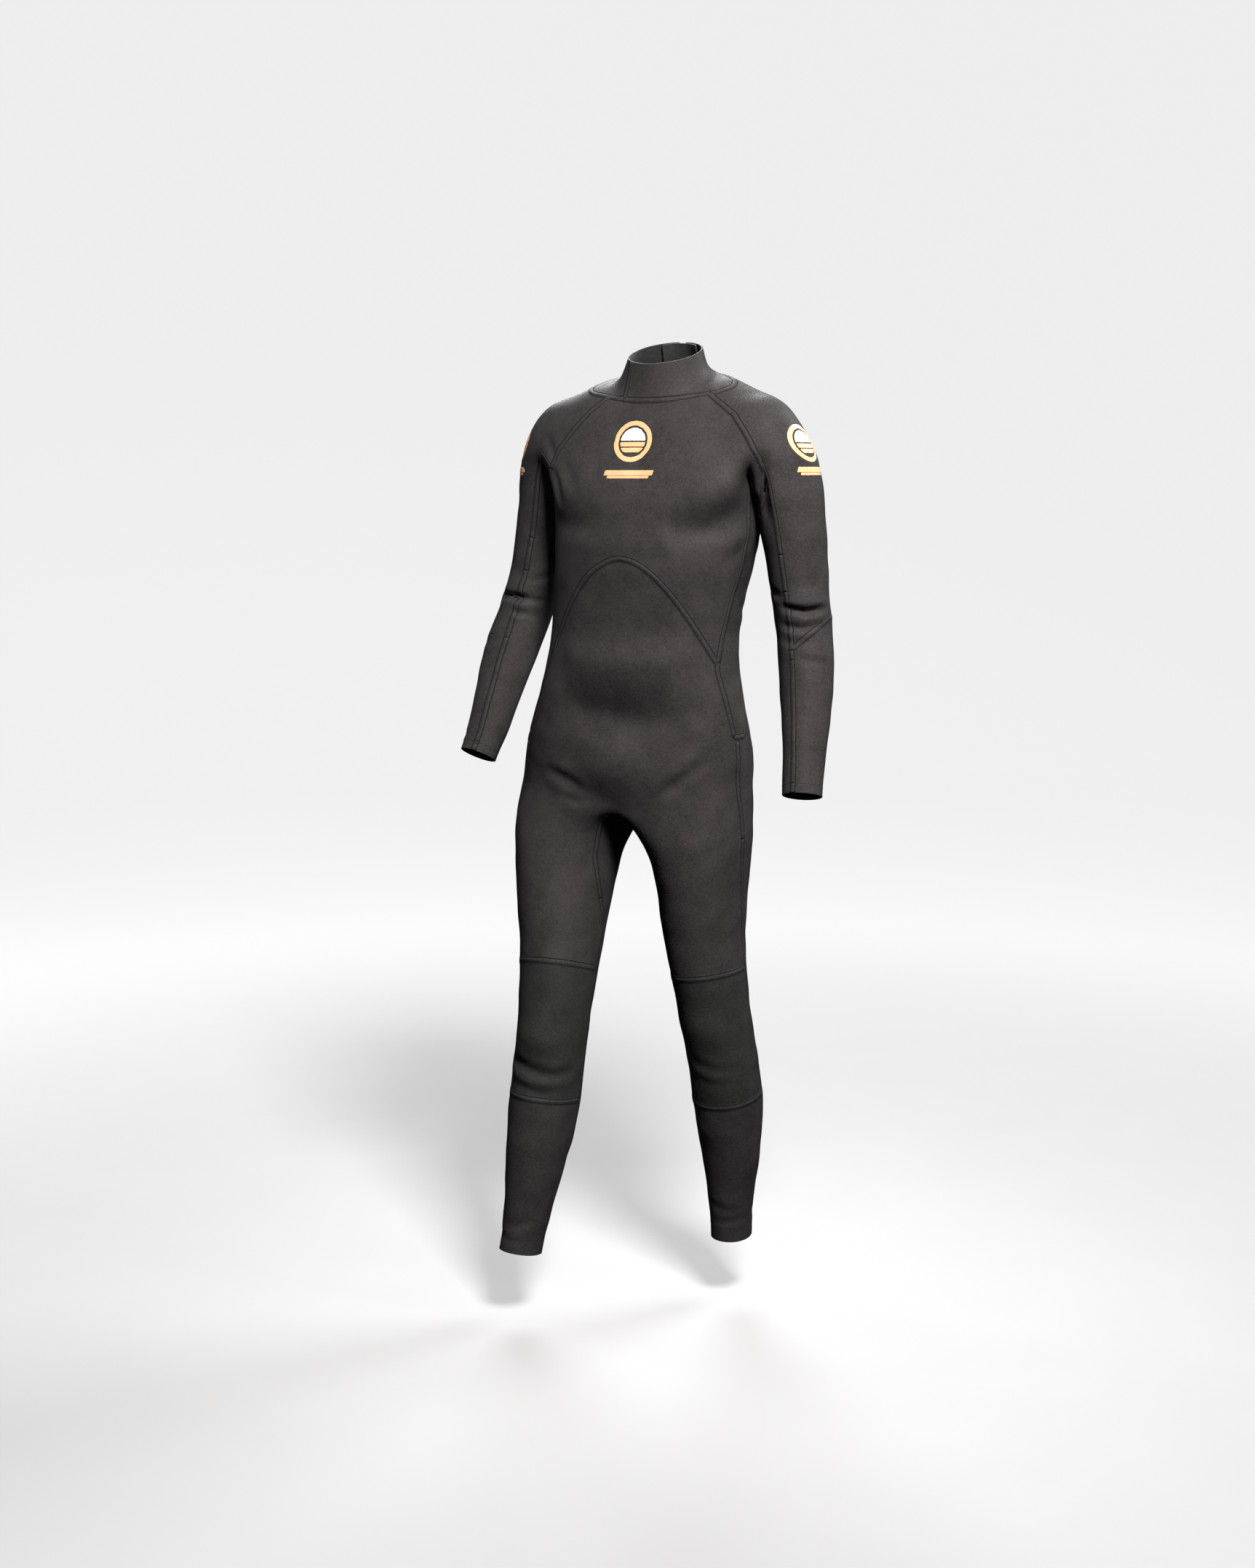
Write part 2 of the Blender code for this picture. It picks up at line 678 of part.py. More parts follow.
def fixed_normals(obj):
    bm = bmesh.new()
    bm.from_mesh(obj.data)
    bmesh.ops.recalc_face_normals(bm, faces=bm.faces)
    bm.to_mesh(obj.data)
    bm.free()
    return obj


def union(target, tool):
    """Joins a cutter into a part."""
    SUIT.objects.unlink(tool)
    CUTTERS.objects.link(tool)
    tool.hide_render = True
    joined = target.modifiers.new("Union", "BOOLEAN")
    joined.operation, joined.solver, joined.object = "UNION", "EXACT", tool
    return target


def frame_plate(z, t0, t1, half, hole, lift, thick):
    """A flat plate lying along the zip, with a rectangular hole (t0, t1, half width)."""
    across, along, out = frame_at(z)
    if along.z < 0:
        along = -along
    base = on_zip(z)
    h0, h1, hw = hole
    outer = [(-half, t0), (half, t0), (half, t1), (-half, t1)]
    inner = [(-hw, h0), (hw, h0), (hw, h1), (-hw, h1)]
    verts = [base + across * s + along * t + out * r
             for r in (lift, lift + thick) for ring in (outer, inner) for s, t in ring]
    faces = []
    for j in range(4):
        k = (j + 1) % 4
        faces += [
            [j, k, 4 + k, 4 + j],
            [8 + k, 8 + j, 12 + j, 12 + k],
            [k, j, 8 + j, 8 + k],
            [4 + j, 4 + k, 12 + k, 12 + j],
        ]
    return verts, faces


# ---------------------------------------------------------------- the whole suit
def on_surface(pattern, fields, top, bottom, keep, finer=0):
    """A patch with the body's own facets, cut out by fields and set at two depths."""
    patch = pattern.copy()
    patch.rename("body", "patch", keep)
    if finer:
        edges = {e for f in patch.faces("patch") for e in f.edges}
        bmesh.ops.subdivide_edges(patch.bm, edges=list(edges), cuts=finer, use_grid_fill=True)
        bmesh.ops.triangulate(patch.bm, faces=[f for f in patch.bm.faces if len(f.verts) > 3])
        patch.bm.normal_update()
    for field in fields:
        patch.cut("patch", lambda p: -field(p), "cut_away")
    return shell(patch, "patch", top, bottom, gap=0.0)


def disc(x, z, radius):
    return lambda p: 1 - math.hypot(p.x - x, p.z - z) / radius


def side_disc(y, z, radius):
    return lambda p: 1 - math.hypot(p.y - y, p.z - z) / radius


for old in list(bpy.data.objects):
    bpy.data.objects.remove(old)
SUIT = bpy.data.collections.new("full_wetsuit")
CUTTERS = bpy.data.collections.new("cutters")
bpy.context.scene.collection.children.link(SUIT)
bpy.context.scene.collection.children.link(CUTTERS)

JERSEY = material("neoprene_jersey", (0.028, 0.027, 0.029), 0.75, sheen=0.3)
KNEE_JERSEY = material("neoprene_knee_pad", (0.022, 0.024, 0.023), 0.62)
SMOOTH_SKIN = material("neoprene_smooth", (0.012, 0.012, 0.013), 0.45)
TAPE = material("woven_tape", (0.020, 0.020, 0.022), 0.8)
TEETH = material("moulded_teeth", (0.03, 0.03, 0.032), 0.35)
METAL = material("slider_metal", (0.35, 0.35, 0.36), 0.35, metallic=1.0)
HOOK = material("hook_tape", (0.015, 0.015, 0.016), 0.9)
PRINT = material("orange_print", (0.80, 0.35, 0.11), 0.5)

whole = Pattern()
suit = cut_panels(whole.copy())

SKIP = ("body", "slot", "sleeve", "upper", "elbow", "forearm", "leg", "thigh", "knee", "shin",
        "front", "side", "back", "back_half", "collar_half")
for panel_name in suit.names:
    if panel_name in SKIP:
        continue
    slot = KNEE_JERSEY if panel_name.startswith("knee_pad") else JERSEY
    make_object(panel_name, *shell(suit, panel_name, 0.0, -NEOPRENE), slot)


# badges, printed on the chest and on both upper sleeves
CHEST_BADGE = (0.024, 1.402, 0.031)
in_front = lambda f, c: c.y < -0.02 and abs(c.x - CHEST_BADGE[0]) < 0.09 and 1.29 < c.z < 1.47
x, z, r = CHEST_BADGE
make_object("chest_badge", *on_surface(whole, [disc(x, z, r)], 0.0007, 0.0003, in_front, 2), PRINT)
bar = [lambda p: p.x - x + 0.040, lambda p: x + 0.040 - p.x, lambda p: p.z - 1.346, lambda p: 1.357 - p.z]
make_object("chest_badge_bar", *on_surface(whole, bar, 0.0007, 0.0003, in_front), PRINT)
for side, y, z in (("left", 0.006, 1.392), ("right", -0.004, 1.392)):
    way = LIMBS[side][0]
    outside = lambda f, c: way * (c.x - BODY_MIDDLE) > 0.17 and 1.33 < c.z < 1.46 and abs(c.y - y) < 0.06
    make_object("sleeve_badge_" + side,
                *on_surface(whole, [side_disc(y, z, 0.026)], 0.0007, 0.0003, outside, 2), PRINT)

# behind the zip: the woven tape and the batten flap, both inside the suit
behind = lambda f, c: c.y > 0.04 and 1.0 < c.z and abs(c.x - BODY_MIDDLE) < 0.11


def strip(half, bottom, top):
    return [lambda p: half - zip_side(p), lambda p: half + zip_side(p),
            lambda p: p.z - bottom, lambda p: top - p.z]


make_object("zip_tape", *on_surface(whole, strip(0.017, 1.0885, 1.508), -0.0039, -0.0047, behind), TAPE)
make_object("batten_flap", *on_surface(whole, strip(0.034, 1.090, 1.506), -0.0052, -0.0077, behind), SMOOTH_SKIN)

TOOTH = 0.0060
count = int((ZIP_TOP - ZIP_BOTTOM) / TOOTH)
stations = [(ZIP_BOTTOM + i * (ZIP_TOP - ZIP_BOTTOM) / count, 1.0 if i % 2 else 0.78) for i in range(count + 1)]
chain = [(-0.0025, -0.0029), (0.0025, -0.0029), (0.0025, -0.0006), (-0.0025, -0.0006)]
fixed_normals(make_object("zip_chain", *sweep(stations, chain), TEETH, smooth=False))
for name, z in (("zip_bottom_stop", ZIP_BOTTOM - 0.0030), ("zip_top_stop", ZIP_TOP + 0.0030)):
    block = [(-0.0024, -0.0029), (0.0024, -0.0029), (0.0024, 0.0008), (-0.0024, 0.0008)]
    fixed_normals(make_object(name, *extruded(z, block, 0.0042), METAL, smooth=False))

SLIDER_AT = ZIP_TOP - 0.010
base = [(-0.0075, 0.0000), (0.0060, 0.0000), (0.0078, 0.0012), (0.0070, 0.0034), (-0.0062, 0.0034), (-0.0075, 0.0022)]
arch_bar = [(-0.0050, 0.0030), (-0.0038, 0.0030), (-0.0036, 0.0058), (0.0036, 0.0058), (0.0038, 0.0030),
            (0.0050, 0.0030), (0.0048, 0.0066), (0.0038, 0.0072), (-0.0038, 0.0072), (-0.0048, 0.0066)]
slider = fixed_normals(make_object("zip_slider", *extruded(SLIDER_AT, base, 0.0050), METAL, smooth=False))
bridge_bar = fixed_normals(make_object("slider_bridge", *extruded(SLIDER_AT, arch_bar, 0.0014), METAL, smooth=False))
union(slider, bridge_bar)
pull_at = (-0.0024, 0.0046)  # the puller's pin, along and out from the slider's middle
plate = frame_plate(SLIDER_AT, pull_at[0] - 0.0300, pull_at[0] + 0.0007, 0.0036,
                    (pull_at[0] - 0.0055, pull_at[0] - 0.0007, 0.0022), pull_at[1] - 0.0006, 0.0012)
fixed_normals(make_object("zip_puller", *plate, METAL, smooth=False))

# the collar's hook-and-loop closing over the top of the zip
around_neck = lambda f, c: c.y > 0.03 and c.z > 1.47
patch_lines = [lambda p: zip_side(p) + 0.040, lambda p: -0.010 - zip_side(p),
               lambda p: collar_base(p) - 0.008, lambda p: 0.030 - collar_base(p)]
make_object("collar_hook_patch", *on_surface(whole, patch_lines, 0.0009, 0.0003, around_neck), HOOK)
tab_lines = [lambda p: zip_side(p) + 0.038, lambda p: 0.026 - zip_side(p),
             lambda p: collar_base(p) - 0.006, lambda p: 0.032 - collar_base(p)]
make_object("collar_tab", *on_surface(whole, tab_lines, 0.0032, 0.0012, around_neck), SMOOTH_SKIN)
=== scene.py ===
"""The looks of the full wetsuit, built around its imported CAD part.

The suit's outer surface is made again from the same tables as in the CAD, much finer and with
muscles and folds, and is cut along the same lines into one piece for each panel. Heights in the
tables are above the wearer's soles; NECK is the frame's origin in those heights.
"""

import math
from collections import namedtuple

import bmesh
import bpy
import numpy as np
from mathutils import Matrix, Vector
from mathutils.bvhtree import BVHTree
from mathutils.kdtree import KDTree


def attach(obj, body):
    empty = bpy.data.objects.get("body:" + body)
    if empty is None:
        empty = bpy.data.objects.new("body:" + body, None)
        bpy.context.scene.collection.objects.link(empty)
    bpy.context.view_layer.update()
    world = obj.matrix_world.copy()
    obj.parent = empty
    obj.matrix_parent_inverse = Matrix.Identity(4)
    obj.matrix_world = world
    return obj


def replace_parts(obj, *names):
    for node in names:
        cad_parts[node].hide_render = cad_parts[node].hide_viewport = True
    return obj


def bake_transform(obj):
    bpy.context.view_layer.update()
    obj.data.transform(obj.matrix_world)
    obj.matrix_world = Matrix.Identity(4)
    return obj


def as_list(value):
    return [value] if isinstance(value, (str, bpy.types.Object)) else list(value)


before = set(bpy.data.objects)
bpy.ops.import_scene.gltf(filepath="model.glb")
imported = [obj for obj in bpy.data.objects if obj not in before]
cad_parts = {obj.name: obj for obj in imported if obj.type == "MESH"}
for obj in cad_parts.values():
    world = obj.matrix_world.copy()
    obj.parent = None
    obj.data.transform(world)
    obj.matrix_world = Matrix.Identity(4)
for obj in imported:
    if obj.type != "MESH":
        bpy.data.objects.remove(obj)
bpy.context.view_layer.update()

NECK = np.array((0.040, 0.020, 1.530))
NEOPRENE = 0.003
LEVELS = 4
KEEP = 0.42  # share of the fine triangles that thinning leaves

# ---------------------------------------------------------------- camera, light and floor
scene = bpy.context.scene
scene.view_settings.view_transform = "Standard"
camera = bpy.data.objects.new("camera", bpy.data.cameras.new("camera"))
camera.data.lens = 50.4
camera.data.sensor_width = 36.0
camera.location = (1.4265, -3.1980, -0.180)
CAMERA_WAY = Vector((-0.4185, 0.8975, -0.1392))
camera.rotation_euler = CAMERA_WAY.to_track_quat("-Z", "Y").to_euler()
scene.collection.objects.link(camera)
scene.camera = camera

WHITE, WARM = (1, 1, 1), (1.0, 0.97, 0.95)
BODY_AT, BACK_AT = (0, 0, -0.65), (0, 0, -0.5)
LIGHTS = (  # name, place, size, power in watts, spread in degrees, aim, colour
    ("key", (1.6, -1.9, 1.9), (0.8, 0.8), 108, 75, (0.05, 0, -0.50), WARM),
    ("front", (0.9, -3.5, 1.0), (0.6, 0.6), 14, 180, BODY_AT, WHITE),
    ("right", (3.0, 0.2, 0.8), (0.6, 2.4), 26, 180, BODY_AT, WHITE),
    ("left", (-2.8, 0.2, 0.8), (0.6, 2.4), 26, 180, BODY_AT, WHITE),
    ("back_right", (1.7, 2.4, 1.8), (1.6, 1.6), 52, 80, BACK_AT, WHITE),
    ("back_left", (-1.5, 2.6, 1.8), (1.6, 1.6), 52, 80, BACK_AT, WHITE),
)
for name, at, size, watts, spread, aim, colour in LIGHTS:
    light = bpy.data.lights.new(name, "AREA")
    light.shape = "RECTANGLE"
    light.size, light.size_y = size
    light.energy, light.color, light.spread = watts, colour, math.radians(spread)
    made = bpy.data.objects.new(name, light)
    made.location = at
    made.rotation_euler = (Vector(aim) - Vector(at)).to_track_quat("-Z", "Y").to_euler()
    scene.collection.objects.link(made)

world = bpy.data.worlds.new("studio")
world.use_nodes = True
sky = world.node_tree.nodes["Background"].inputs
sky["Color"].default_value, sky["Strength"].default_value = (0.93, 0.93, 0.94, 1), 0.04
scene.world = world


# ---------------------------------------------------------------- materials
class Shader:
    """A Principled material whose colour and bump come from noise, cell and wave nodes."""

    def __init__(self, name, rough, level=0.5, **sockets):
        self.made = bpy.data.materials.new(name)
        self.made.use_nodes = True
        self.tree = self.made.node_tree
        self.shader = self.tree.nodes["Principled BSDF"]
        sockets.update({"Roughness": rough, "Specular IOR Level": level, "Sheen Roughness": 0.42})
        self.feed(self.shader, {key.replace("_", " "): value for key, value in sockets.items()})
        self.place = self.node("TexCoord").outputs["Object"]

    def feed(self, node, inputs):
        for socket, value in inputs.items():
            if isinstance(value, bpy.types.NodeSocket):
                self.tree.links.new(value, node.inputs[socket])
            else:
                node.inputs[socket].default_value = value

    def node(self, kind, inputs=None, **values):
        made = self.tree.nodes.new("ShaderNode" + kind)
        for key, value in values.items():
            setattr(made, key, value)
        self.feed(made, inputs or {})
        return made

    def noise(self, scale, detail=2.0, rough=0.5):
        inputs = {"Scale": scale, "Detail": detail, "Roughness": rough, "Vector": self.place}
        return self.node("TexNoise", inputs).outputs["Fac"]

    def cells(self, scale, stretch=1.0):
        at = self.node("Mapping", {"Scale": (1, 1, stretch), "Vector": self.place}).outputs["Vector"]
        return self.node("TexVoronoi", {"Scale": scale, "Vector": at}).outputs["Distance"]

    def spread(self, value, low, high, start=0.25, end=0.75, **values):
        inputs = {"From Min": start, "From Max": end, "To Min": low, "To Max": high, "Value": value}
        return self.node("MapRange", inputs, **values).outputs["Result"]

    def maths(self, operation, a, b):
        return self.node("Math", {0: a, 1: b}, operation=operation).outputs["Value"]

    def colour(self, dark, light, share):
        mix = self.node("Mix", data_type="RGBA")
        self.feed(mix, {"A": (*dark, 1), "B": (*light, 1), "Factor": share})
        self.feed(self.shader, {"Base Color": mix.outputs["Result"]})

    def bump(self, *layers):
        """Layers of (height, strength, distance), the last on top."""
        under = {}
        for height, strength, distance in layers:
            under.update(Strength=strength, Distance=distance, Height=height)
            under = {"Normal": self.node("Bump", under).outputs["Normal"]}
        self.feed(self.shader, under)
        return self.made


def knit(name, dark, light, rough, rib, sheen=0.0, tint=(1, 1, 1)):
    """Jersey over foam: wales and courses about a millimetre apart, mottled and slightly fuzzy."""
    s = Shader(name, rough, 0.025, Sheen_Weight=sheen, Sheen_Tint=(*tint, 1))
    wales, grain = s.cells(760, 0.62), s.noise(290, 3.0, 0.65)
    mottle, cloud = s.noise(34, 4.0, 0.6), s.noise(7)
    fine = s.maths("ADD", s.spread(grain, 0.0, 0.55), s.spread(mottle, 0.0, 0.30))
    s.colour(dark, light, s.maths("ADD", fine, s.spread(cloud, 0.0, 0.15)))
    s.feed(s.shader, {"Roughness": s.spread(mottle, rough - 0.05, rough + 0.07)})
    return s.bump((wales, 0.35, 0.0006), (grain, rib, 0.0009), (mottle, 0.18, 0.0016))


def simple(name, dark, light, rough, scale, strength, distance, level=0.5, **sockets):
    s = Shader(name, rough, level, **sockets)
    fine = s.noise(scale, 4.0, 0.6)
    s.colour(dark, light, s.spread(fine, 0.0, 1.0))
    s.feed(s.shader, {"Roughness": s.spread(s.noise(scale / 6), rough - 0.08, rough + 0.10)})
    return s.bump((fine, strength, distance))


JERSEY = knit("neoprene_jersey", (0.0052, 0.0049, 0.0050), (0.0222, 0.0205, 0.0210), 0.55, 0.40)
KNEE = knit("neoprene_knee_pad", (0.0042, 0.0045, 0.0043), (0.0165, 0.0174, 0.0167), 0.55, 0.55)
LINING = knit("neoprene_lining", (0.007, 0.007, 0.008), (0.018, 0.018, 0.019), 0.85, 0.35,
              0.06, (0.9, 0.9, 0.92))
SMOOTH = simple("neoprene_smooth", (0.008, 0.008, 0.008), (0.018, 0.018, 0.018), 0.60, 140, 0.25, 0.0004,
                0.15)
TEETH = simple("moulded_teeth", (0.014, 0.014, 0.015), (0.030, 0.030, 0.032), 0.34, 500, 0.12, 0.0002,
               Coat_Weight=0.2)
METAL = simple("slider_metal", (0.24, 0.24, 0.25), (0.46, 0.46, 0.47), 0.34, 380, 0.10, 0.0002,
               Metallic=1.0)
THREAD = simple("stitch_thread", (0.0015, 0.0015, 0.0016), (0.0045, 0.0045, 0.0047), 0.85, 1500, 0.5,
                0.0003, 0.12)
PRINT = simple("orange_print", (0.31, 0.130, 0.056), (0.41, 0.190, 0.090), 0.50, 420, 0.35, 0.0003)
CREAM = simple("cream_print", (0.30, 0.27, 0.22), (0.38, 0.345, 0.285), 0.50, 420, 0.35, 0.0003)


def floor_material():
    """Pale paint that glows a little, most of all far out, so that the backdrop is even all round."""
    s = Shader("pale_floor", 0.85, 0.1, Emission_Color=(1, 1, 1, 1))
    s.colour((0.165, 0.165, 0.167), (0.175, 0.175, 0.177), s.noise(6, 3.0))
    apart = s.node("SeparateXYZ", {"Vector": s.place}).outputs
    x, y = (s.maths("MULTIPLY", apart[axis], apart[axis]) for axis in "XY")
    away = s.maths("POWER", s.maths("ADD", x, y), 0.5)
    glow = s.spread(away, 0.25, 0.84, 0.8, 3.2, interpolation_type="SMOOTHSTEP")
    s.feed(s.shader, {"Emission Strength": glow})
    return s.made


def tape_material():
    s = Shader("woven_tape", 0.80, Sheen_Weight=0.25)
    ribs = s.node("TexWave", {"Scale": 420, "Distortion": 1.5, "Vector": s.place}, bands_direction="Z")
    ribs = ribs.outputs["Fac"]
    s.colour((0.009, 0.009, 0.010), (0.030, 0.030, 0.032), ribs)
    return s.bump((ribs, 0.6, 0.0004), (s.noise(700), 0.4, 0.0003))


def hook_material():
    s = Shader("hook_tape", 0.9)
    hooks = s.cells(900)
    s.colour((0.006, 0.006, 0.007), (0.032, 0.032, 0.034), hooks)
    return s.bump((hooks, 0.9, 0.0008))


FLOOR_PAINT, TAPE, HOOK = floor_material(), tape_material(), hook_material()


def studio():
    """A round pale floor that curves up into a dome, out of the way of all light but the camera's."""
    flat, bend, top, sides = 6.0, 3.0, 6.0, 96
    profile = [(r, 0.0) for r in (0.5, 1.5, 3.0, 4.5, flat)]
    for a in np.linspace(0, math.pi / 2, 17)[1:]:
        profile.append((flat + bend * math.sin(a), bend - bend * math.cos(a)))
    for a in np.linspace(0, 1.5, 17)[1:]:
        profile.append(((flat + bend) * math.cos(a), bend + top * math.sin(a)))
    round_way = np.linspace(0, 2 * math.pi, sides + 1)[:-1]
    points = [(r * math.cos(t), r * math.sin(t), z - NECK[2]) for r, z in profile for t in round_way]
    faces = []
    for i in range(len(profile) - 1):
        for j in range(sides):
            a, b = i * sides + j, i * sides + (j + 1) % sides
            faces.append((a, b, b + sides, a + sides))
    faces += [tuple(range(sides))[::-1], tuple(range(len(points) - sides, len(points)))]
    mesh = bpy.data.meshes.new("floor")
    mesh.from_pydata(points, [], faces)
    mesh.shade_smooth()
    mesh.materials.append(FLOOR_PAINT)
    floor = bpy.data.objects.new("floor", mesh)
    floor.visible_diffuse = floor.visible_glossy = floor.visible_shadow = False
    scene.collection.objects.link(floor)


studio()


# ---------------------------------------------------------------- the body form, as in the CAD
def in_metres(kind, *rows):
    """Rows of a table, written in millimetres (and a ring's exponent in thousandths)."""
    return [kind(*(value / 1000 for value in row)) for row in rows]


TORSO_SIDES, LIMB_SIDES = 16, 12
Ring = namedtuple("Ring", "z x y wide front back square tip arch")
Section = namedtuple("Section", "x y z wide deep")
TORSO = in_metres(
    Ring,
    (835, -5, 8, 192, 98, 124, 2200, 0, 30),
    (910, 0, 6, 191, 102, 114, 2300, 0, 10),
    (980, 5, 4, 176, 98, 94, 2300, 0, 0),
    (1055, 10, 2, 158, 94, 78, 2200, 0, 0),
    (1140, 17, 6, 154, 100, 98, 2200, 0, 0),
    (1220, 28, 10, 162, 112, 107, 2300, 0, 0),
    (1292, 34, 14, 171, 114, 109, 2400, 0, 0),
    (1375, 34, 20, 171, 98, 103, 2400, 10, 0),
    (1452, 34, 24, 158, 78, 91, 2300, 22, 22),
    (1482, 36, 24, 108, 68, 84, 2100, 28, 18),
    (1494, 38, 22, 73, 60, 70, 2000, 26, 0),
    (1540, 41, 18, 59, 57, 60, 2000, 20, 0),
)
SHOULDER_ROWS = (6, 8)
SHOULDER_COLUMNS = (2, 6)
LEFT_ARM = in_metres(
    Section,
    (216, 22, 1414, 62, 64),
    (244, 26, 1345, 57, 60),
    (255, 30, 1265, 50, 56),
    (263, 34, 1185, 44, 51),
    (272, 36, 1115, 43, 47),
    (281, 22, 1050, 43, 44),
    (289, 0, 980, 38, 38),
    (296, -26, 905, 32, 32),
    (299, -40, 862, 31, 31),
)
RIGHT_ARM = in_metres(
    Section,
    (-146, 32, 1414, 60, 64),
    (-172, 48, 1345, 52, 60),
    (-184, 52, 1268, 47, 55),
    (-199, 50, 1194, 43, 51),
    (-217, 40, 1130, 43, 47),
    (-232, 16, 1068, 43, 44),
    (-243, -12, 1000, 37, 38),
    (-252, -38, 933, 31, 32),
    (-259, -54, 898, 30, 31),
)
LEFT_LEG = in_metres(
    Section,
    (114, 12, 765, 80, 96),
    (110, 14, 665, 66, 86),
    (120, 16, 575, 59, 72),
    (131, 18, 490, 56, 63),
    (142, 30, 410, 56, 60),
    (147, 44, 325, 55, 61),
    (147, 54, 240, 45, 50),
    (146, 60, 160, 34, 40),
    (145, 62, 107, 32, 38),
)
RIGHT_LEG = in_metres(
    Section,
    (-122, -4, 765, 90, 96),
    (-112, -36, 665, 72, 86),
    (-101, -70, 575, 60, 72),
    (-99, -98, 490, 56, 63),
    (-104, -112, 410, 56, 60),
    (-110, -122, 328, 56, 61),
    (-117, -138, 243, 46, 50),
    (-124, -156, 163, 35, 40),
    (-128, -166, 112, 33, 38),
)
ARM, LEG = 1, 2  # which part a face belongs to; 0 is the trunk
CROTCH = ((-0.050, 0.832), (0.006, 0.818), (0.062, 0.830))
LIMBS = {"left": (1, LEFT_ARM, LEFT_LEG), "right": (-1, RIGHT_ARM, RIGHT_LEG)}


def grown(sides):
    """How much a ring of a subdivided cage has to grow to keep its size."""
    return 3 / (2 + math.cos(2 * math.pi / sides))


def power(value, exponent):
    return math.copysign(abs(value) ** exponent, value)


def torso_point(ring, index):
    angle = 2 * math.pi * index / TORSO_SIDES
    sine, cosine = math.sin(angle), math.cos(angle)
    grow = grown(TORSO_SIDES)
    depth = ring.front if cosine > 0 else ring.back
    return Vector((
        ring.x + ring.wide * grow * power(sine, 2 / ring.square),
        ring.y - depth * grow * power(cosine, 2 / ring.square),
        ring.z - ring.tip * cosine + ring.arch * sine * sine,
    ))


def directions(sections, start):
    centres = [start] + [Vector(s[:3]) for s in sections]
    after = centres[2:] + [centres[-1] * 2 - centres[-2]]
    return [(b - a).normalized() for a, b in zip(centres[:-1], after)]


def leg_ring(section, along, side):
    across = (Vector((1, 0, 0)) - along * along.x).normalized()
    back = across.cross(along)
    grow = grown(LIMB_SIDES)
    points = []
    for j in range(LIMB_SIDES):
        angle = 2 * math.pi * (j - 1) / LIMB_SIDES
        out = across * (side * section.wide * grow * math.sin(angle))
        points.append(Vector(section[:3]) + out - back * (section.deep * grow * math.cos(angle)))
    return points


def arm_ring(section, along, side):
    back = (Vector((0, 1, 0)) - along * along.y).normalized()
    out = along.cross(back) * side
    grow = grown(LIMB_SIDES)
    return [
        Vector(section[:3])
        + out * (section.wide * grow * math.cos(2 * math.pi * j / LIMB_SIDES))
        + back * (section.deep * grow * math.sin(2 * math.pi * j / LIMB_SIDES))
        for j in range(LIMB_SIDES)
    ]


def add_limb(bm, opening, sections, maker, side, limb):
    centre = sum((v.co for v in opening), Vector()) / len(opening)
    above = opening
    for section, along in zip(sections, directions(sections, centre)):
        below = [bm.verts.new(p) for p in maker(section, along, side)]
        for j in range(len(above)):
            k = (j + 1) % len(above)
            bm.faces.new([above[j], above[k], below[k], below[j]]).material_index = limb
        above = below


def body_cage():
    bm = bmesh.new()
    rows = [[bm.verts.new(torso_point(r, k)) for k in range(TORSO_SIDES)] for r in TORSO]
    low, high = SHOULDER_ROWS
    front, back = SHOULDER_COLUMNS
    for r in range(len(rows) - 1):
        for k in range(TORSO_SIDES):
            hole = front <= k < back or TORSO_SIDES - back <= k < TORSO_SIDES - front
            if low <= r < high and hole:
                continue
            n = (k + 1) % TORSO_SIDES
            bm.faces.new([rows[r][k], rows[r][n], rows[r + 1][n], rows[r + 1][k]])
    middle = (front + back) // 2
    for side, sections in ((1, LEFT_ARM), (-1, RIGHT_ARM)):
        top = [rows[high][side * k % TORSO_SIDES] for k in range(front, back + 1)]
        bottom = [rows[low][side * k % TORSO_SIDES] for k in range(front, back + 1)]
        between = range(low + 1, high)
        front_edge = [rows[r][side * front % TORSO_SIDES] for r in between]
        back_edge = [rows[r][side * back % TORSO_SIDES] for r in reversed(between)]
        half = middle - front
        opening = top[half:] + back_edge + bottom[::-1] + front_edge + top[:half]
        add_limb(bm, opening, sections, arm_ring, side, ARM)
    crotch = [bm.verts.new((TORSO[0].x, y, z)) for y, z in CROTCH]
    for side, sections in ((1, LEFT_LEG), (-1, RIGHT_LEG)):
        outer = [rows[0][side * k % TORSO_SIDES] for k in range(TORSO_SIDES // 2 + 1)]
        add_limb(bm, outer + crotch[::-1], sections, leg_ring, side, LEG)
    bmesh.ops.recalc_face_normals(bm, faces=bm.faces)
    return bm


# ---------------------------------------------------------------- lines drawn on the body
def table(*rows):
    """A line on the body: pairs of a height and a place, in millimetres."""
    z, v = np.array(rows).T / 1000
    return lambda at: np.interp(at, z, v)


def column(sections, name):
    z, v = zip(*sorted((s.z, getattr(s, name)) for s in sections))
    return lambda at: np.interp(at, z, v)


BODY_MIDDLE = 0.034
RAGLAN = {
    "left": table((1260, 158), (1285, 176), (1310, 190), (1354, 196), (1376, 189), (1409, 172),
                  (1442, 146), (1471, 102), (1500, 66)),
    "right": table((1260, 155), (1285, 166), (1310, 170), (1343, 168), (1388, 148), (1422, 122),
                   (1450, 96), (1473, 68), (1500, 52)),
}
FRONT_SIDE = table((900, -22), (950, -27), (1000, -32), (1050, -41), (1150, -24), (1250, -10),
                   (1330, -12))
BACK_SIDE = table((945, 0), (1000, 24), (1100, 44), (1300, 56))
SIDE_BOTTOM = 0.945
LUMBAR = 1.086
GROIN = np.array((-0.003, 0.0, 0.806))
GROIN_SLOPE = (0.574, -0.819)
HIP_LENGTH = 0.130
INNER_SEAM = table((520, 10), (640, 6), (700, -30), (750, -55), (820, -65))
OUTER_SEAM = table((450, 20), (600, 10), (750, -15), (900, -30))
KNEE_SEAMS = {"left": (0.561, 0.352), "right": (0.565, 0.362)}
ANKLE_HEM = 0.024
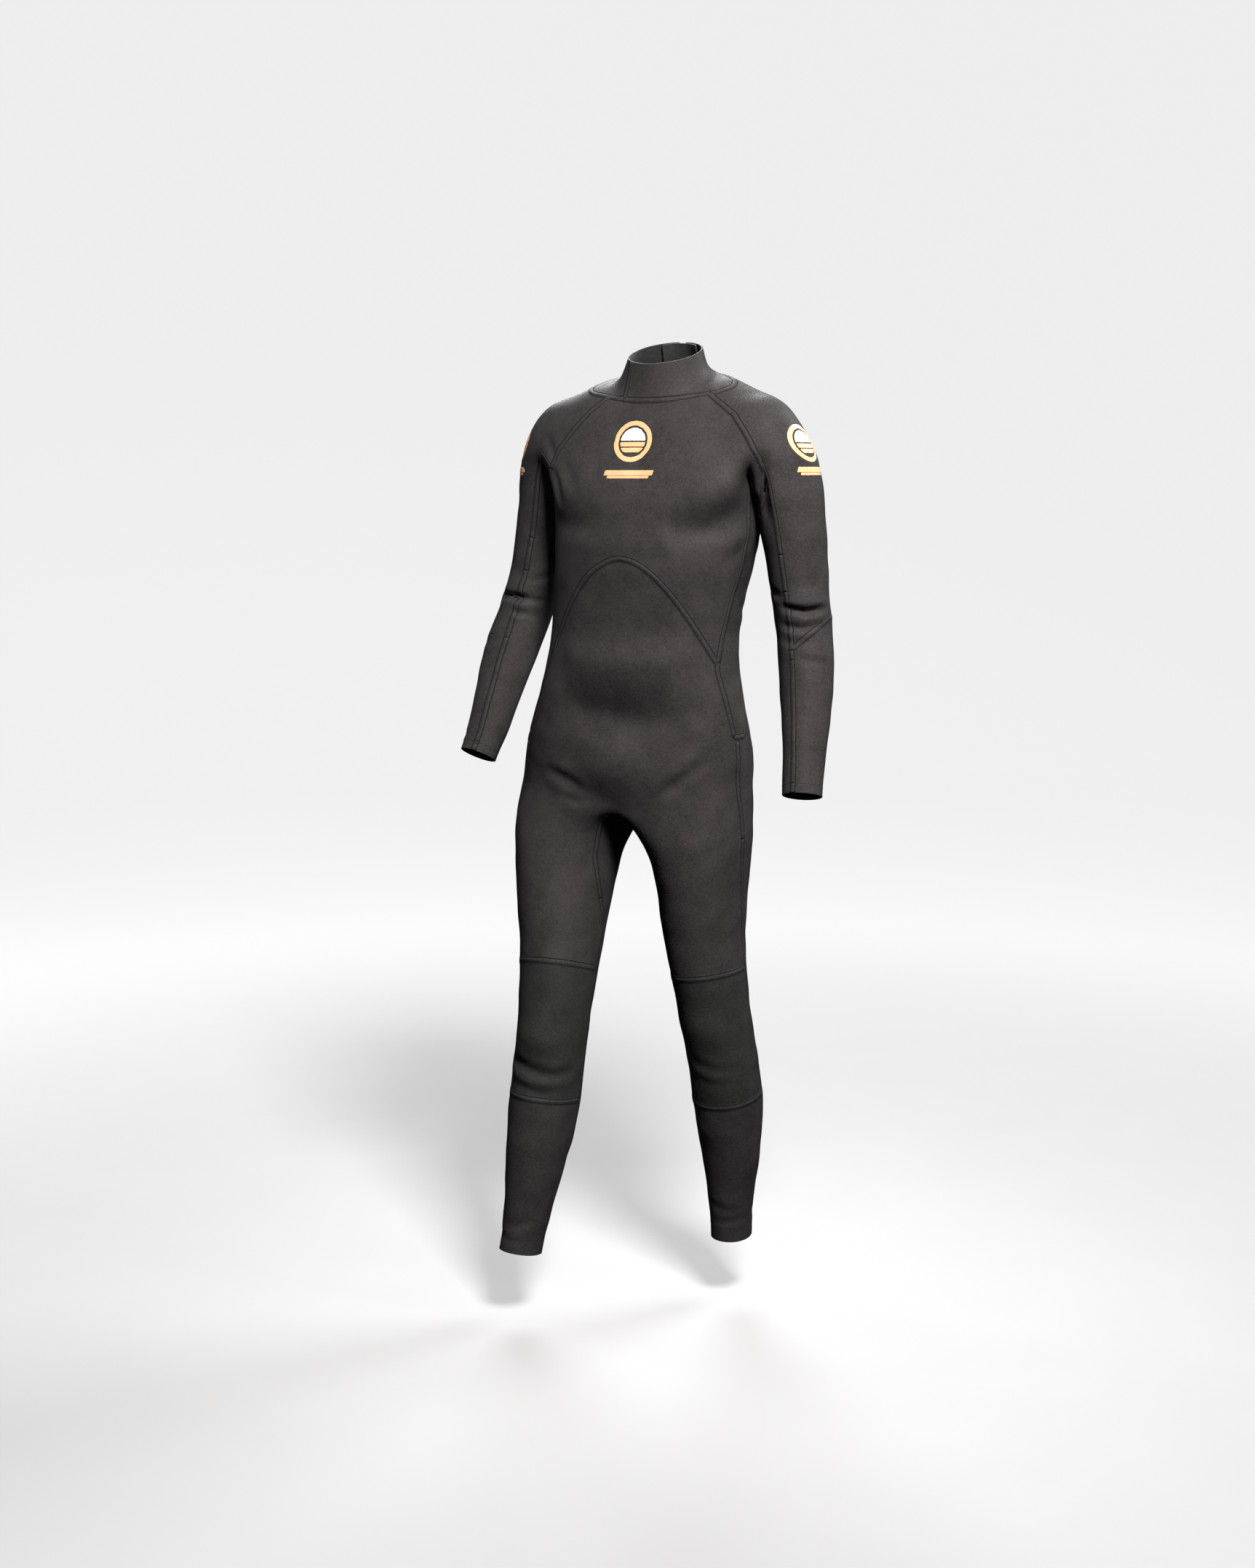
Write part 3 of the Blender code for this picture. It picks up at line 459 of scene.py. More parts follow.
WRIST_HEM = 0.014
ARMPIT = 1.272
SHOULDER_LINE = (0.70, -0.714)
SHOULDER_START = {"left": np.array((0.230, 0, 1.297)), "right": np.array((-0.142, 0, 1.300))}
SHOULDER_LENGTH = 0.066
ELBOW = {"left": 1.118, "right": 1.132}
ELBOW_HALF = 0.058
SLANT, SLANT_AT = np.array((0.629, 0.153, -0.762)), -0.6593
YOKE = 1.155
STRIP_EDGE = table((904, 980), (989, 820), (1148, 420))

ZIP_LEAN = 0.055
ZIP_AXIS = np.array((1, 0, -ZIP_LEAN)) / math.hypot(1, ZIP_LEAN)
ZIP_UP = np.array((ZIP_LEAN, 0, 1)) / math.hypot(1, ZIP_LEAN)
ZIP_OUT = np.array((0.0, 1.0, 0.0))
ZIP_RADIUS = 0.990
ZIP_PIVOT = np.array((0.034, -0.867, 1.340))
ZIP_BOTTOM, ZIP_TOP = 1.096, 1.500
ZIP_SLOT = 0.0065
COLLAR_AT_ZIP = 1.505
BACK_CURVE = 0.90  # the back drops by side * side / BACK_CURVE away from the zip
ARCH_TOP, ARCH_BEND, ARCH_MIDDLE = 1.223, 8.3, 0.017
COLLAR_SEAM, COLLAR_SLOPE, COLLAR_MIDDLE = 1.490, 0.40, 0.022
GUSSET_TOP = 0.848
UNDERARM = -0.055  # how far above the shoulder's bend the sleeve's underside still counts as a panel
GUSSET_BEHIND = 0.0004  # area over which the gusset's loose part behind the legs is kept


def unit(v):
    v = np.asarray(v, float)
    return v / np.maximum(np.linalg.norm(v, axis=-1, keepdims=True), 1e-12)


def raglan(side):
    way = LIMBS[side][0]
    return lambda p: way * (p[:, 0] - BODY_MIDDLE) - RAGLAN[side](p[:, 2])


def arch(p):
    return ARCH_TOP - ARCH_BEND * (p[:, 0] - ARCH_MIDDLE) ** 2 - p[:, 2]


def collar_base(p):
    return p[:, 2] - COLLAR_SEAM - COLLAR_SLOPE * (p[:, 1] - COLLAR_MIDDLE)


def slanted(side, at, slope, beyond):
    """How far beyond a slanted line a point lies, outwards and down."""
    way = LIMBS[side][0]
    return lambda p: way * (p[:, 0] - at[0]) * slope[0] + (p[:, 2] - at[2]) * slope[1] - beyond


def groin(side, beyond=0.0):
    return slanted(side, GROIN, GROIN_SLOPE, beyond)


def shoulder_line(side, beyond=0.0):
    return slanted(side, SHOULDER_START[side], SHOULDER_LINE, beyond)


def front_of_leg(side):
    way, _, leg = LIMBS[side]
    middle, depth, wide = (column(leg, n) for n in ("x", "y", "wide"))

    def field(p):
        z = p[:, 2]
        inner, outer = INNER_SEAM(z), OUTER_SEAM(z)
        across = way * (p[:, 0] - middle(z)) / wide(z)
        return depth(z) + (inner + outer) / 2 + (outer - inner) / 2 * across - p[:, 1]

    return field


def over_sleeve(side):
    way, arm, _ = LIMBS[side]
    middle, depth, wide = (column(arm, n) for n in ("x", "y", "wide"))
    return lambda p: (way * (p[:, 0] - middle(p[:, 2])) + 0.30 * (p[:, 1] - depth(p[:, 2]))
                      + 0.45 * wide(p[:, 2]))


def past(sections, z):
    for above, below in zip(sections, sections[1:]):
        if below.z <= z:
            break
    share = (above.z - z) / (above.z - below.z)
    start, end = np.array(above[:3]), np.array(below[:3])
    along, at = unit(end - start), start + (end - start) * share
    return lambda p: (p - at) @ along


def forearm_strip(p):
    """Over nought on the narrow strip along the front of the wearer's right forearm."""
    x, y = (column(RIGHT_ARM, n)(p[:, 2]) for n in ("x", "y"))
    turn = np.arctan2(x - p[:, 0], y - p[:, 1])  # from the front to the outside, -90 to 270 degrees
    return STRIP_EDGE(p[:, 2]) - (np.mod(turn + math.pi / 2, 2 * math.pi) - math.pi / 2)


def end_of(sections, length):
    start, end = np.array(sections[-2][:3]), np.array(sections[-1][:3])
    along = unit(end - start)
    return lambda p: (p - end) @ along + length


def zip_side(p):
    return (p - ZIP_PIVOT) @ ZIP_AXIS


def on_zip(z, radius=0.0, side=0.0):
    """A point on the zip's arc at one height, moved out from the arc and to one side."""
    angle = math.asin((z - ZIP_PIVOT[2]) / ZIP_RADIUS)
    r = ZIP_RADIUS + radius
    on_arc = ZIP_PIVOT + ZIP_OUT * (r * math.cos(angle)) + ZIP_UP * (r * math.sin(angle))
    return on_arc + ZIP_AXIS * side


def ramp(value, start, end):
    share = np.clip((value - start) / (end - start), 0.0, 1.0)
    return share * share * (3 - 2 * share)


def to_zip_arc(p):
    side = zip_side(p)
    weight = ramp(np.abs(side), 0.070, 0.030)
    weight = weight * ramp(p[:, 2], 1.060, 1.085) * ramp(p[:, 2], 1.525, 1.500)
    weight = np.where(p[:, 1] < 0.04, 0.0, weight)  # only at the back
    arm = p - ZIP_PIVOT - side[:, None] * ZIP_AXIS
    length = np.linalg.norm(arm, axis=1)
    target = ZIP_RADIUS + 0.0006 - side * side / BACK_CURVE
    return arm / length[:, None] * ((target - length) * weight)[:, None]


# ---------------------------------------------------------------- muscles and folds
def limb_spot(sections, way, z, angle):
    """A point on a limb at one height; the angle runs from the front to the outside."""
    x, y, wide, deep = (column(sections, n)(z) for n in ("x", "y", "wide", "deep"))
    turn = math.radians(angle)
    return np.array((x + way * wide * math.sin(turn), y - deep * math.cos(turn), z))


def torso_spot(z, angle):
    x, y, wide, front, back = (column(TORSO, n)(z) for n in ("x", "y", "wide", "front", "back"))
    turn = math.radians(angle)
    depth = front if math.cos(turn) > 0 else back
    return np.array((x + wide * math.sin(turn), y - depth * math.cos(turn), z))


BLOBS = []  # (centre, half sizes, height in mm)
for way in (1, -1):
    BLOBS += [
        (torso_spot(1.338, 36 * way), (0.060, 0.060, 0.044), 8.5),
        (torso_spot(1.272, 34 * way), (0.060, 0.060, 0.020), -5.0),
        (torso_spot(1.365, 180 - 42 * way), (0.050, 0.050, 0.060), 5.0),
        (torso_spot(1.150, 180 - 30 * way), (0.035, 0.040, 0.080), 2.0),
        (torso_spot(0.900, 180 - 36 * way), (0.065, 0.070, 0.060), 8.0),
        (torso_spot(1.180, 62 * way), (0.050, 0.050, 0.040), 2.0),
        (torso_spot(0.985, 40 * way), (0.035, 0.040, 0.040), 2.0),
    ]
BLOBS += [
    (torso_spot(1.340, 2), (0.014, 0.050, 0.060), -2.2),
    (torso_spot(0.905, 180), (0.016, 0.060, 0.050), -9.0),
    (torso_spot(1.020, 180), (0.022, 0.050, 0.035), -3.0),
    (np.array((-0.002, -0.094, 0.900)), (0.040, 0.045, 0.036), 9.5),
    (np.array((-0.002, -0.094, 0.846)), (0.050, 0.050, 0.018), -2.0),
]
for side, (way, arm, leg) in LIMBS.items():
    spot = lambda z, angle: limb_spot(arm, way, z, angle)
    BLOBS += [
        (spot(1.385, 80), (0.035, 0.050, 0.045), 3.5),
        (spot(1.235, 10), (0.034, 0.034, 0.050), 3.0),
        (spot(1.255, 175), (0.034, 0.034, 0.055), 3.0),
        (spot(1.060, 60), (0.034, 0.034, 0.045), 3.0),
        (spot(ELBOW[side] - 0.004, 170), (0.022, 0.026, 0.024), 3.5),
    ]
    spot = lambda z, angle: limb_spot(leg, way, z, angle)
    BLOBS += [
        (spot(0.680, 25), (0.050, 0.050, 0.090), 4.0),
        (spot(0.560, -30), (0.030, 0.035, 0.035), 3.0),
        (spot(0.560, 45), (0.028, 0.035, 0.040), 2.0),
        (spot(0.475, 2), (0.030, 0.030, 0.032), 4.5),
        (spot(0.428, 2), (0.020, 0.025, 0.016), -2.0),
        (spot(0.330, 205), (0.034, 0.036, 0.070), 5.0),
        (spot(0.345, 150), (0.034, 0.036, 0.065), 4.5),
        (spot(0.640, 180), (0.040, 0.040, 0.080), 3.0),
    ]


def crease(u):
    """A furrow with a low swell on each side of it."""
    return -(1 - u * u) * np.exp(-u * u / 2)


def swell(u):
    return np.exp(-u * u / 2)


def arc(spot, z, start, stop, tilt=0.0):
    """Points round a limb or the torso from one angle to another, the far end `tilt` lower."""
    share = np.linspace(0, 1, 7)
    return [spot(z - tilt * t, start + (stop - start) * t) for t in share]


FOLDS = [  # (points in mm, half width in mm, height in mm, profile)
    # under the chest on the wearer's left, and at the armpits
    ([(215, -26, 1325), (194, -35, 1294), (172, -63, 1274), (138, -83, 1262),
      (93, -94, 1256)], 18, -8.5, swell),
    ([(193, -45, 1347), (161, -72, 1326), (124, -86, 1312)], 18, 5.5, swell),
    ([(-124, -49, 1364), (-105, -62, 1337), (-93, -73, 1300)], 8, 2.4, crease),
    ([(-116, -46, 1388), (-83, -68, 1353), (-60, -86, 1314)], 12, 1.6, crease),
    ([(-142, -31, 1416), (-127, -42, 1388), (-116, -53, 1364)], 8, 1.8, crease),
    ([(226, -38, 1390), (228, -31, 1334), (231, -24, 1275)], 9, 3.5, crease),
    ([(196, -7, 1254), (186, -26, 1232), (165, -53, 1214)], 12, 1.8, crease),
    # belly and crotch
    ([(-90, -80, 1070), (-35, -90, 1056), (30, -92, 1052), (90, -86, 1062),
      (135, -66, 1080)], 26, 11.5, swell),
    ([(-100, -78, 998), (-40, -90, 974), (25, -94, 966), (90, -87, 974),
      (145, -66, 998)], 22, -11.5, swell),
    ([(-45, -91, 850), (-11, -87, 834), (31, -86, 825), (75, -86, 851)], 12, -3.0, swell),
    ([(-40, -91, 848), (-77, -89, 870), (-125, -77, 886)], 10, 3.0, crease),
    ([(70, -85, 845), (108, -80, 877), (150, -64, 913)], 10, 3.0, crease),
    ([(-30, -80, 842), (-60, -85, 838), (-90, -95, 845)], 8, 1.8, crease),
    # elbows
    ([(250, 0, 1150), (262, -14, 1148), (289, -9, 1143), (314, 12, 1147),
      (322, 34, 1152)], 6.2, 6.4, crease),
    ([(252, 0, 1168), (270, -12, 1166), (300, -4, 1164), (320, 24, 1168)], 10, 4.6, swell),
    ([(248, 2, 1124), (262, -12, 1120), (285, -12, 1117), (312, 12, 1122)], 5.6, 3.2, crease),
    ([(250, -4, 1098), (272, -18, 1094), (296, -8, 1098)], 6, 1.5, crease),
    ([(-244, 20, 1158), (-238, 5, 1155), (-207, -6, 1153), (-173, 20, 1147)], 6.2, 5.4, crease),
    ([(-240, 12, 1174), (-199, -4, 1173), (-168, 18, 1170)], 10, 3.8, swell),
    ([(-250, 14, 1130), (-209, -10, 1129), (-180, 15, 1122)], 5.6, 2.8, crease),
    # the wearer's right knee bends more, so it has the deeper folds
    ([(-150, -140, 428), (-130, -165, 420), (-100, -171, 412), (-68, -157, 405),
      (-49, -126, 412)], 10, 4.5, crease),
    ([(-145, -150, 462), (-93, -172, 455), (-52, -140, 450)], 17, 4.0, swell),
    ([(-145, -150, 392), (-120, -172, 386), (-91, -173, 378), (-55, -145, 384)], 9, 2.6, crease),
    ([(108, -24, 421), (130, -32, 412), (156, -28, 406), (190, 0, 415)], 10, 2.0, crease),
    ([(116, -28, 392), (142, -28, 384), (176, -12, 388)], 8, 1.2, crease),
]
FOLDS = [([np.array(p) / 1000 for p in points], width / 1000, *rest) for points, width, *rest in FOLDS]
for side, (way, arm, leg) in LIMBS.items():
    on_arm = lambda z, angle: limb_spot(arm, way, z, angle)
    on_leg = lambda z, angle: limb_spot(leg, way, z, angle)
    on_body = lambda z, angle: torso_spot(z, angle * way)
    elbow = ELBOW[side]
    FOLDS += [
        (arc(on_leg, 0.482, 140, 225, 0.010), 0.008, 2.6, crease),
        (arc(on_leg, 0.456, 120, 240, -0.006), 0.008, 3.4, crease),
        (arc(on_leg, 0.430, 140, 230, 0.012), 0.007, 2.6, crease),
        (arc(on_leg, 0.404, 150, 215, -0.004), 0.008, 1.5, crease),
        (arc(on_leg, 0.172, -60, 40, 0.012), 0.008, 1.0, crease),
        (arc(on_leg, 0.150, 100, 220, 0.008), 0.008, 1.2, crease),
        (arc(on_leg, 0.136, -30, 70, -0.010), 0.007, 0.9, crease),
        (arc(on_arm, elbow + 0.060, -70, -10, 0.014), 0.007, 1.6, crease),
        (arc(on_arm, elbow - 0.046, 0, 70, 0.010), 0.007, 1.2, crease),
        (arc(on_arm, 0.935, 20, 110, 0.012), 0.006, 0.8, crease),
        (arc(on_body, 1.112, 115, 172, 0.016), 0.010, 2.2, crease),
        (arc(on_body, 1.078, 108, 176, 0.010), 0.010, 2.8, crease),
        (arc(on_body, 1.040, 112, 168, -0.006), 0.010, 1.8, crease),
        (arc(on_body, 1.150, 85, 130, 0.020), 0.010, 1.6, crease),
        (arc(on_body, 1.330, 98, 128, 0.050), 0.010, 2.4, crease),
        (arc(on_body, 1.300, 92, 118, 0.060), 0.009, 2.0, crease),
        (arc(on_body, 0.846, 148, 205, -0.004), 0.010, -4.0, swell),
    ]


def relief(p):
    """How far the worn suit stands out from the plain body form."""
    out = np.zeros(len(p))
    for centre, size, height in BLOBS:
        d = (p - centre) / np.array(size)
        out += height * 0.001 * np.exp(-0.5 * (d * d).sum(1) * 1.6)
    for points, width, height, profile in FOLDS:
        points = np.array(points)
        reach = 4 * width
        near = np.flatnonzero(np.all((p > points.min(0) - reach) & (p < points.max(0) + reach), axis=1))
        if not len(near):
            continue
        q = p[near]
        lengths = np.linalg.norm(np.diff(points, axis=0), axis=1)
        run = np.concatenate([[0], np.cumsum(lengths)])
        best, at = np.full(len(q), 1e9), np.zeros(len(q))
        for i, (a, b) in enumerate(zip(points, points[1:])):
            t = np.clip(((q - a) @ (b - a)) / lengths[i] ** 2, 0, 1)
            d = np.linalg.norm(q - a - t[:, None] * (b - a), axis=1)
            closer = d < best
            best[closer] = d[closer]
            at[closer] = (run[i] + t * lengths[i])[closer]
        share = at / run[-1]
        fade = np.sin(np.pi * np.clip(share, 0.0, 1.0)) ** 0.7
        out[near] += height * 0.001 * profile(best / width) * fade
    draw = np.random.default_rng(7)
    for wavelength, height in ((0.110, 0.45), (0.060, 0.30), (0.034, 0.16)):
        for _ in range(5):
            wave = p @ unit(draw.normal(size=3)) * (2 * math.pi / wavelength)
            out += height * 0.001 * np.sin(wave + draw.uniform(0, 6.28)) / 2
    return out


# ---------------------------------------------------------------- the skin and its cutting
EDGE_KEY = 10**7  # more than the number of points, so that two point numbers make one key
RIM_REACH = 0.06  # how far from the middle of a hem's ring the points of its rim may lie
PARTS = ("trunk", "arm", "leg")


def edges_of(t):
    """The three edges of each triangle, one after another, as pairs of point numbers."""
    return t[:, [0, 1, 1, 2, 2, 0]].reshape(-1, 2)


def summed(index, vectors, count):
    """For each point number the sum of the vectors that have it as their index."""
    return np.stack([np.bincount(index, vectors[:, axis], count) for axis in range(3)], axis=1)


def vertex_normals(p, t):
    a, b, c = p[t[:, 0]], p[t[:, 1]], p[t[:, 2]]
    face = np.cross(b - a, c - a)
    return unit(sum(summed(t[:, k], face, len(p)) for k in range(3)))


def twin_edges(t):
    """The ends of every edge that two triangles share, and the two triangles' numbers."""
    ends = np.sort(edges_of(t), axis=1)
    keys = ends[:, 0] * EDGE_KEY + ends[:, 1]
    order = np.argsort(keys, kind="stable")
    same = np.flatnonzero(keys[order][1:] == keys[order][:-1])
    return ends[order[same]], order[same] // 3, order[same + 1] // 3


def mesh_arrays(obj):
    """The points, triangles and material numbers of an object as its modifiers leave it."""
    shape = obj.evaluated_get(bpy.context.evaluated_depsgraph_get()).to_mesh()
    shape.calc_loop_triangles()
    p = np.zeros(len(shape.vertices) * 3)
    shape.vertices.foreach_get("co", p)
    t = np.zeros(len(shape.loop_triangles) * 3, int)
    shape.loop_triangles.foreach_get("vertices", t)
    owner = np.zeros(len(shape.loop_triangles), int)
    shape.loop_triangles.foreach_get("polygon_index", owner)
    limb = np.zeros(len(shape.polygons), int)
    shape.polygons.foreach_get("material_index", limb)
    return p.reshape(-1, 3), t.reshape(-1, 3), limb[owner]


class Skin:
    """The outer surface as triangles, each with the name of the panel that it belongs to."""

    def __init__(self):
        mesh = bpy.data.meshes.new("cage")
        bm = body_cage()
        bm.to_mesh(mesh)
        bm.free()
        for name in PARTS:
            mesh.materials.append(bpy.data.materials.get(name) or bpy.data.materials.new(name))
        cage = bpy.data.objects.new("cage", mesh)
        scene.collection.objects.link(cage)
        smooth = cage.modifiers.new("Subdivision", "SUBSURF")
        smooth.levels = smooth.render_levels = LEVELS
        p, t, limb = mesh_arrays(cage)
        n = vertex_normals(p, t)
        p = p + n * relief(p)[:, None]
        edges = np.sort(edges_of(t), axis=1)
        pairs, count = np.unique(edges, axis=0, return_counts=True)
        rim = np.unique(pairs[count == 1])
        for _, arm, leg in LIMBS.values():
            for sections in (arm, leg):
                end = np.array(sections[-1][:3])
                along = unit(end - np.array(sections[-2][:3]))
                own = rim[np.linalg.norm(p[rim] - end, axis=1) < RIM_REACH]
                p[own] -= ((p[own] - end) @ along)[:, None] * along
        p += to_zip_arc(p)
        fine = bpy.data.meshes.new("fine")
        fine.from_pydata(p, [], t)
        for name in PARTS:
            fine.materials.append(bpy.data.materials[name])
        fine.polygons.foreach_set("material_index", limb)
        cage.modifiers.clear()
        cage.data = fine
        thinned = cage.modifiers.new("Decimate", "DECIMATE")
        thinned.ratio = KEEP
        self.P, self.T, self.M = mesh_arrays(cage)
        self.N = vertex_normals(self.P, self.T)
        self.tree = BVHTree.FromPolygons(p.tolist(), t.tolist())
        self.fine_normal = vertex_normals(p, t)
        self.near = KDTree(len(p))
        for i, point in enumerate(p):
            self.near.insert(point, i)
        self.near.balance()
        self.L = np.zeros(len(self.T), int)
        self.names = ["body"]
        bpy.data.objects.remove(cage)
        for used in (mesh, fine):
            bpy.data.meshes.remove(used)
        for name in PARTS:
            bpy.data.materials.remove(bpy.data.materials[name])

    def copy(self):
        other = Skin.__new__(Skin)
        other.__dict__.update(self.__dict__)
        other.names = list(self.names)
        return other

    def ground(self, point):
        """The place on the skin nearest to a point, and the skin's direction there."""
        at = self.tree.find_nearest(Vector(point))[0]
        return np.array(at), self.fine_normal[self.near.find(at)[1]]

    def number(self, name):
        if name not in self.names:
            self.names.append(name)
        return self.names.index(name)

    def chosen(self, names, keep):
        names = [names] if isinstance(names, str) else names
        found = np.isin(self.L, [self.names.index(n) for n in names if n in self.names])
        if keep is not None:
            found &= keep(self.P[self.T].mean(axis=1), self.M)
        return found

    def rename(self, names, new, keep=None):
        self.L = np.where(self.chosen(names, keep), self.number(new), self.L)

    def cut(self, names, field, new, keep=None, snap=0.08):
        """Cuts panels along the line where the field is zero; the positive side gets a new name."""
        chosen = self.chosen(names, keep)
        if not chosen.any():
            return
        value = np.zeros(len(self.P))
        used = np.unique(self.T[chosen])
        value[used] = field(self.P[used])
        edges = np.unique(np.sort(edges_of(self.T[chosen]), axis=1), axis=0)
        a, b = value[edges[:, 0]], value[edges[:, 1]]
        share = np.where(a * b < 0, a / np.where(a == b, 1, a - b), 0.5)
        value[edges[(a * b < 0) & (share < snap), 0]] = 0.0
        value[edges[(a * b < 0) & (share > 1 - snap), 1]] = 0.0
        a, b = value[edges[:, 0]], value[edges[:, 1]]
        crossing = a * b < 0
        edges, a, b = edges[crossing], a[crossing], b[crossing]
        share = (a / (a - b))[:, None]
        first = len(self.P)
        mixed = lambda values: values[edges[:, 0]] * (1 - share) + values[edges[:, 1]] * share
        self.P = np.concatenate([self.P, mixed(self.P)])
        self.N = np.concatenate([self.N, unit(mixed(self.N))])
        value = np.concatenate([value, np.zeros(len(edges))])
        keys = edges[:, 0] * first + edges[:, 1]
        order = np.argsort(keys)
        ends = np.sort(edges_of(self.T).reshape(-1, 3, 2), axis=2)
        wanted = ends[:, :, 0] * first + ends[:, :, 1]
        if len(keys):
            found = np.minimum(np.searchsorted(keys[order], wanted), len(keys) - 1)
            hit = keys[order][found] == wanted
            middle = np.where(hit, first + order[found], -1)
        else:
            middle = np.full(wanted.shape, -1)
        split = (middle >= 0).sum(axis=1)
        parts = [(self.T[split == 0], np.flatnonzero(split == 0))]
        for count in (1, 2, 3):
            rows = np.flatnonzero(split == count)
            if not len(rows):
                continue
            t, m = self.T[rows], middle[rows]
            if count == 1:
                turn = np.argmax(m >= 0, axis=1)
            elif count == 2:
                turn = (np.argmax(m < 0, axis=1) + 1) % 3
            else:
                turn = np.zeros(len(rows), int)
            index = (turn[:, None] + np.arange(3)) % 3
            va, vb, vc = np.take_along_axis(t, index, 1).T
            ma, mb, mc = np.take_along_axis(m, index, 1).T
            if count == 1:
                made = [(va, ma, vc), (ma, vb, vc)]
            elif count == 2:
                short = (np.linalg.norm(self.P[va] - self.P[mb], axis=1)
                         < np.linalg.norm(self.P[ma] - self.P[vc], axis=1))
                made = [(ma, vb, mb), (va, ma, np.where(short, mb, vc)),
                        (np.where(short, va, ma), mb, vc)]
            else:
                made = [(va, ma, mc), (ma, vb, mb), (mc, mb, vc), (ma, mb, mc)]
            for tri in made:
                parts.append((np.stack(tri, axis=1), rows))
        self.T = np.concatenate([p[0] for p in parts])
        parent = np.concatenate([p[1] for p in parts])
        self.L, self.M, chosen = self.L[parent], self.M[parent], chosen[parent]
        most = value[self.T]
        most = np.take_along_axis(most, np.abs(most).argmax(axis=1)[:, None], 1)[:, 0]
        self.L = np.where(chosen & (most > 0), self.number(new), self.L)

    def merge_scraps(self):
        """Gives every loose scrap of a panel to the panel that it borders most."""
        _, f, g = twin_edges(self.T)
        group = np.arange(len(self.T))
        inside = self.L[f] == self.L[g]
        a, b = f[inside], g[inside]
        while True:
            low = np.minimum(group[a], group[b])
            before = group.copy()
            np.minimum.at(group, a, low)
            np.minimum.at(group, b, low)
            group = group[group]
            if (group == before).all():
                break
        first, second, third = (self.P[self.T[:, k]] for k in range(3))
        e = np.cross(second - first, third - first)
        area = np.bincount(group, np.linalg.norm(e, axis=1) / 2, len(self.T))
        for number in range(len(self.names)):
            groups = np.unique(group[self.L == number])
            if len(groups) < 2:
                continue
            largest = groups[np.argmax(area[groups])]
            for scrap in groups[groups != largest]:
                if self.names[number] == "crotch_gusset" and area[scrap] > GUSSET_BEHIND:
                    continue  # the gusset's part behind the legs
                own_f, own_g = group[f] == scrap, group[g] == scrap
                others = np.concatenate([self.L[g[own_f & ~own_g]], self.L[f[own_g & ~own_f]]])
                if len(others):
                    self.L[group == scrap] = np.bincount(others).argmax()


def cut_elbow(skin, side):
    """The seams over an elbow: slanted on the wearer's left, a yoke and a strip on the right."""
    elbow, forearm = "elbow_panel_outer_" + side, "forearm_outer_" + side
    if side == "left":
        skin.cut(elbow, lambda p: p @ SLANT - SLANT_AT, elbow + "/low")
        return
    skin.cut(elbow, lambda p: YOKE - p[:, 2], elbow + "/low")
    for name in (elbow + "/low", forearm):
        skin.cut(name, forearm_strip, name.split("/")[0] + "/strip")


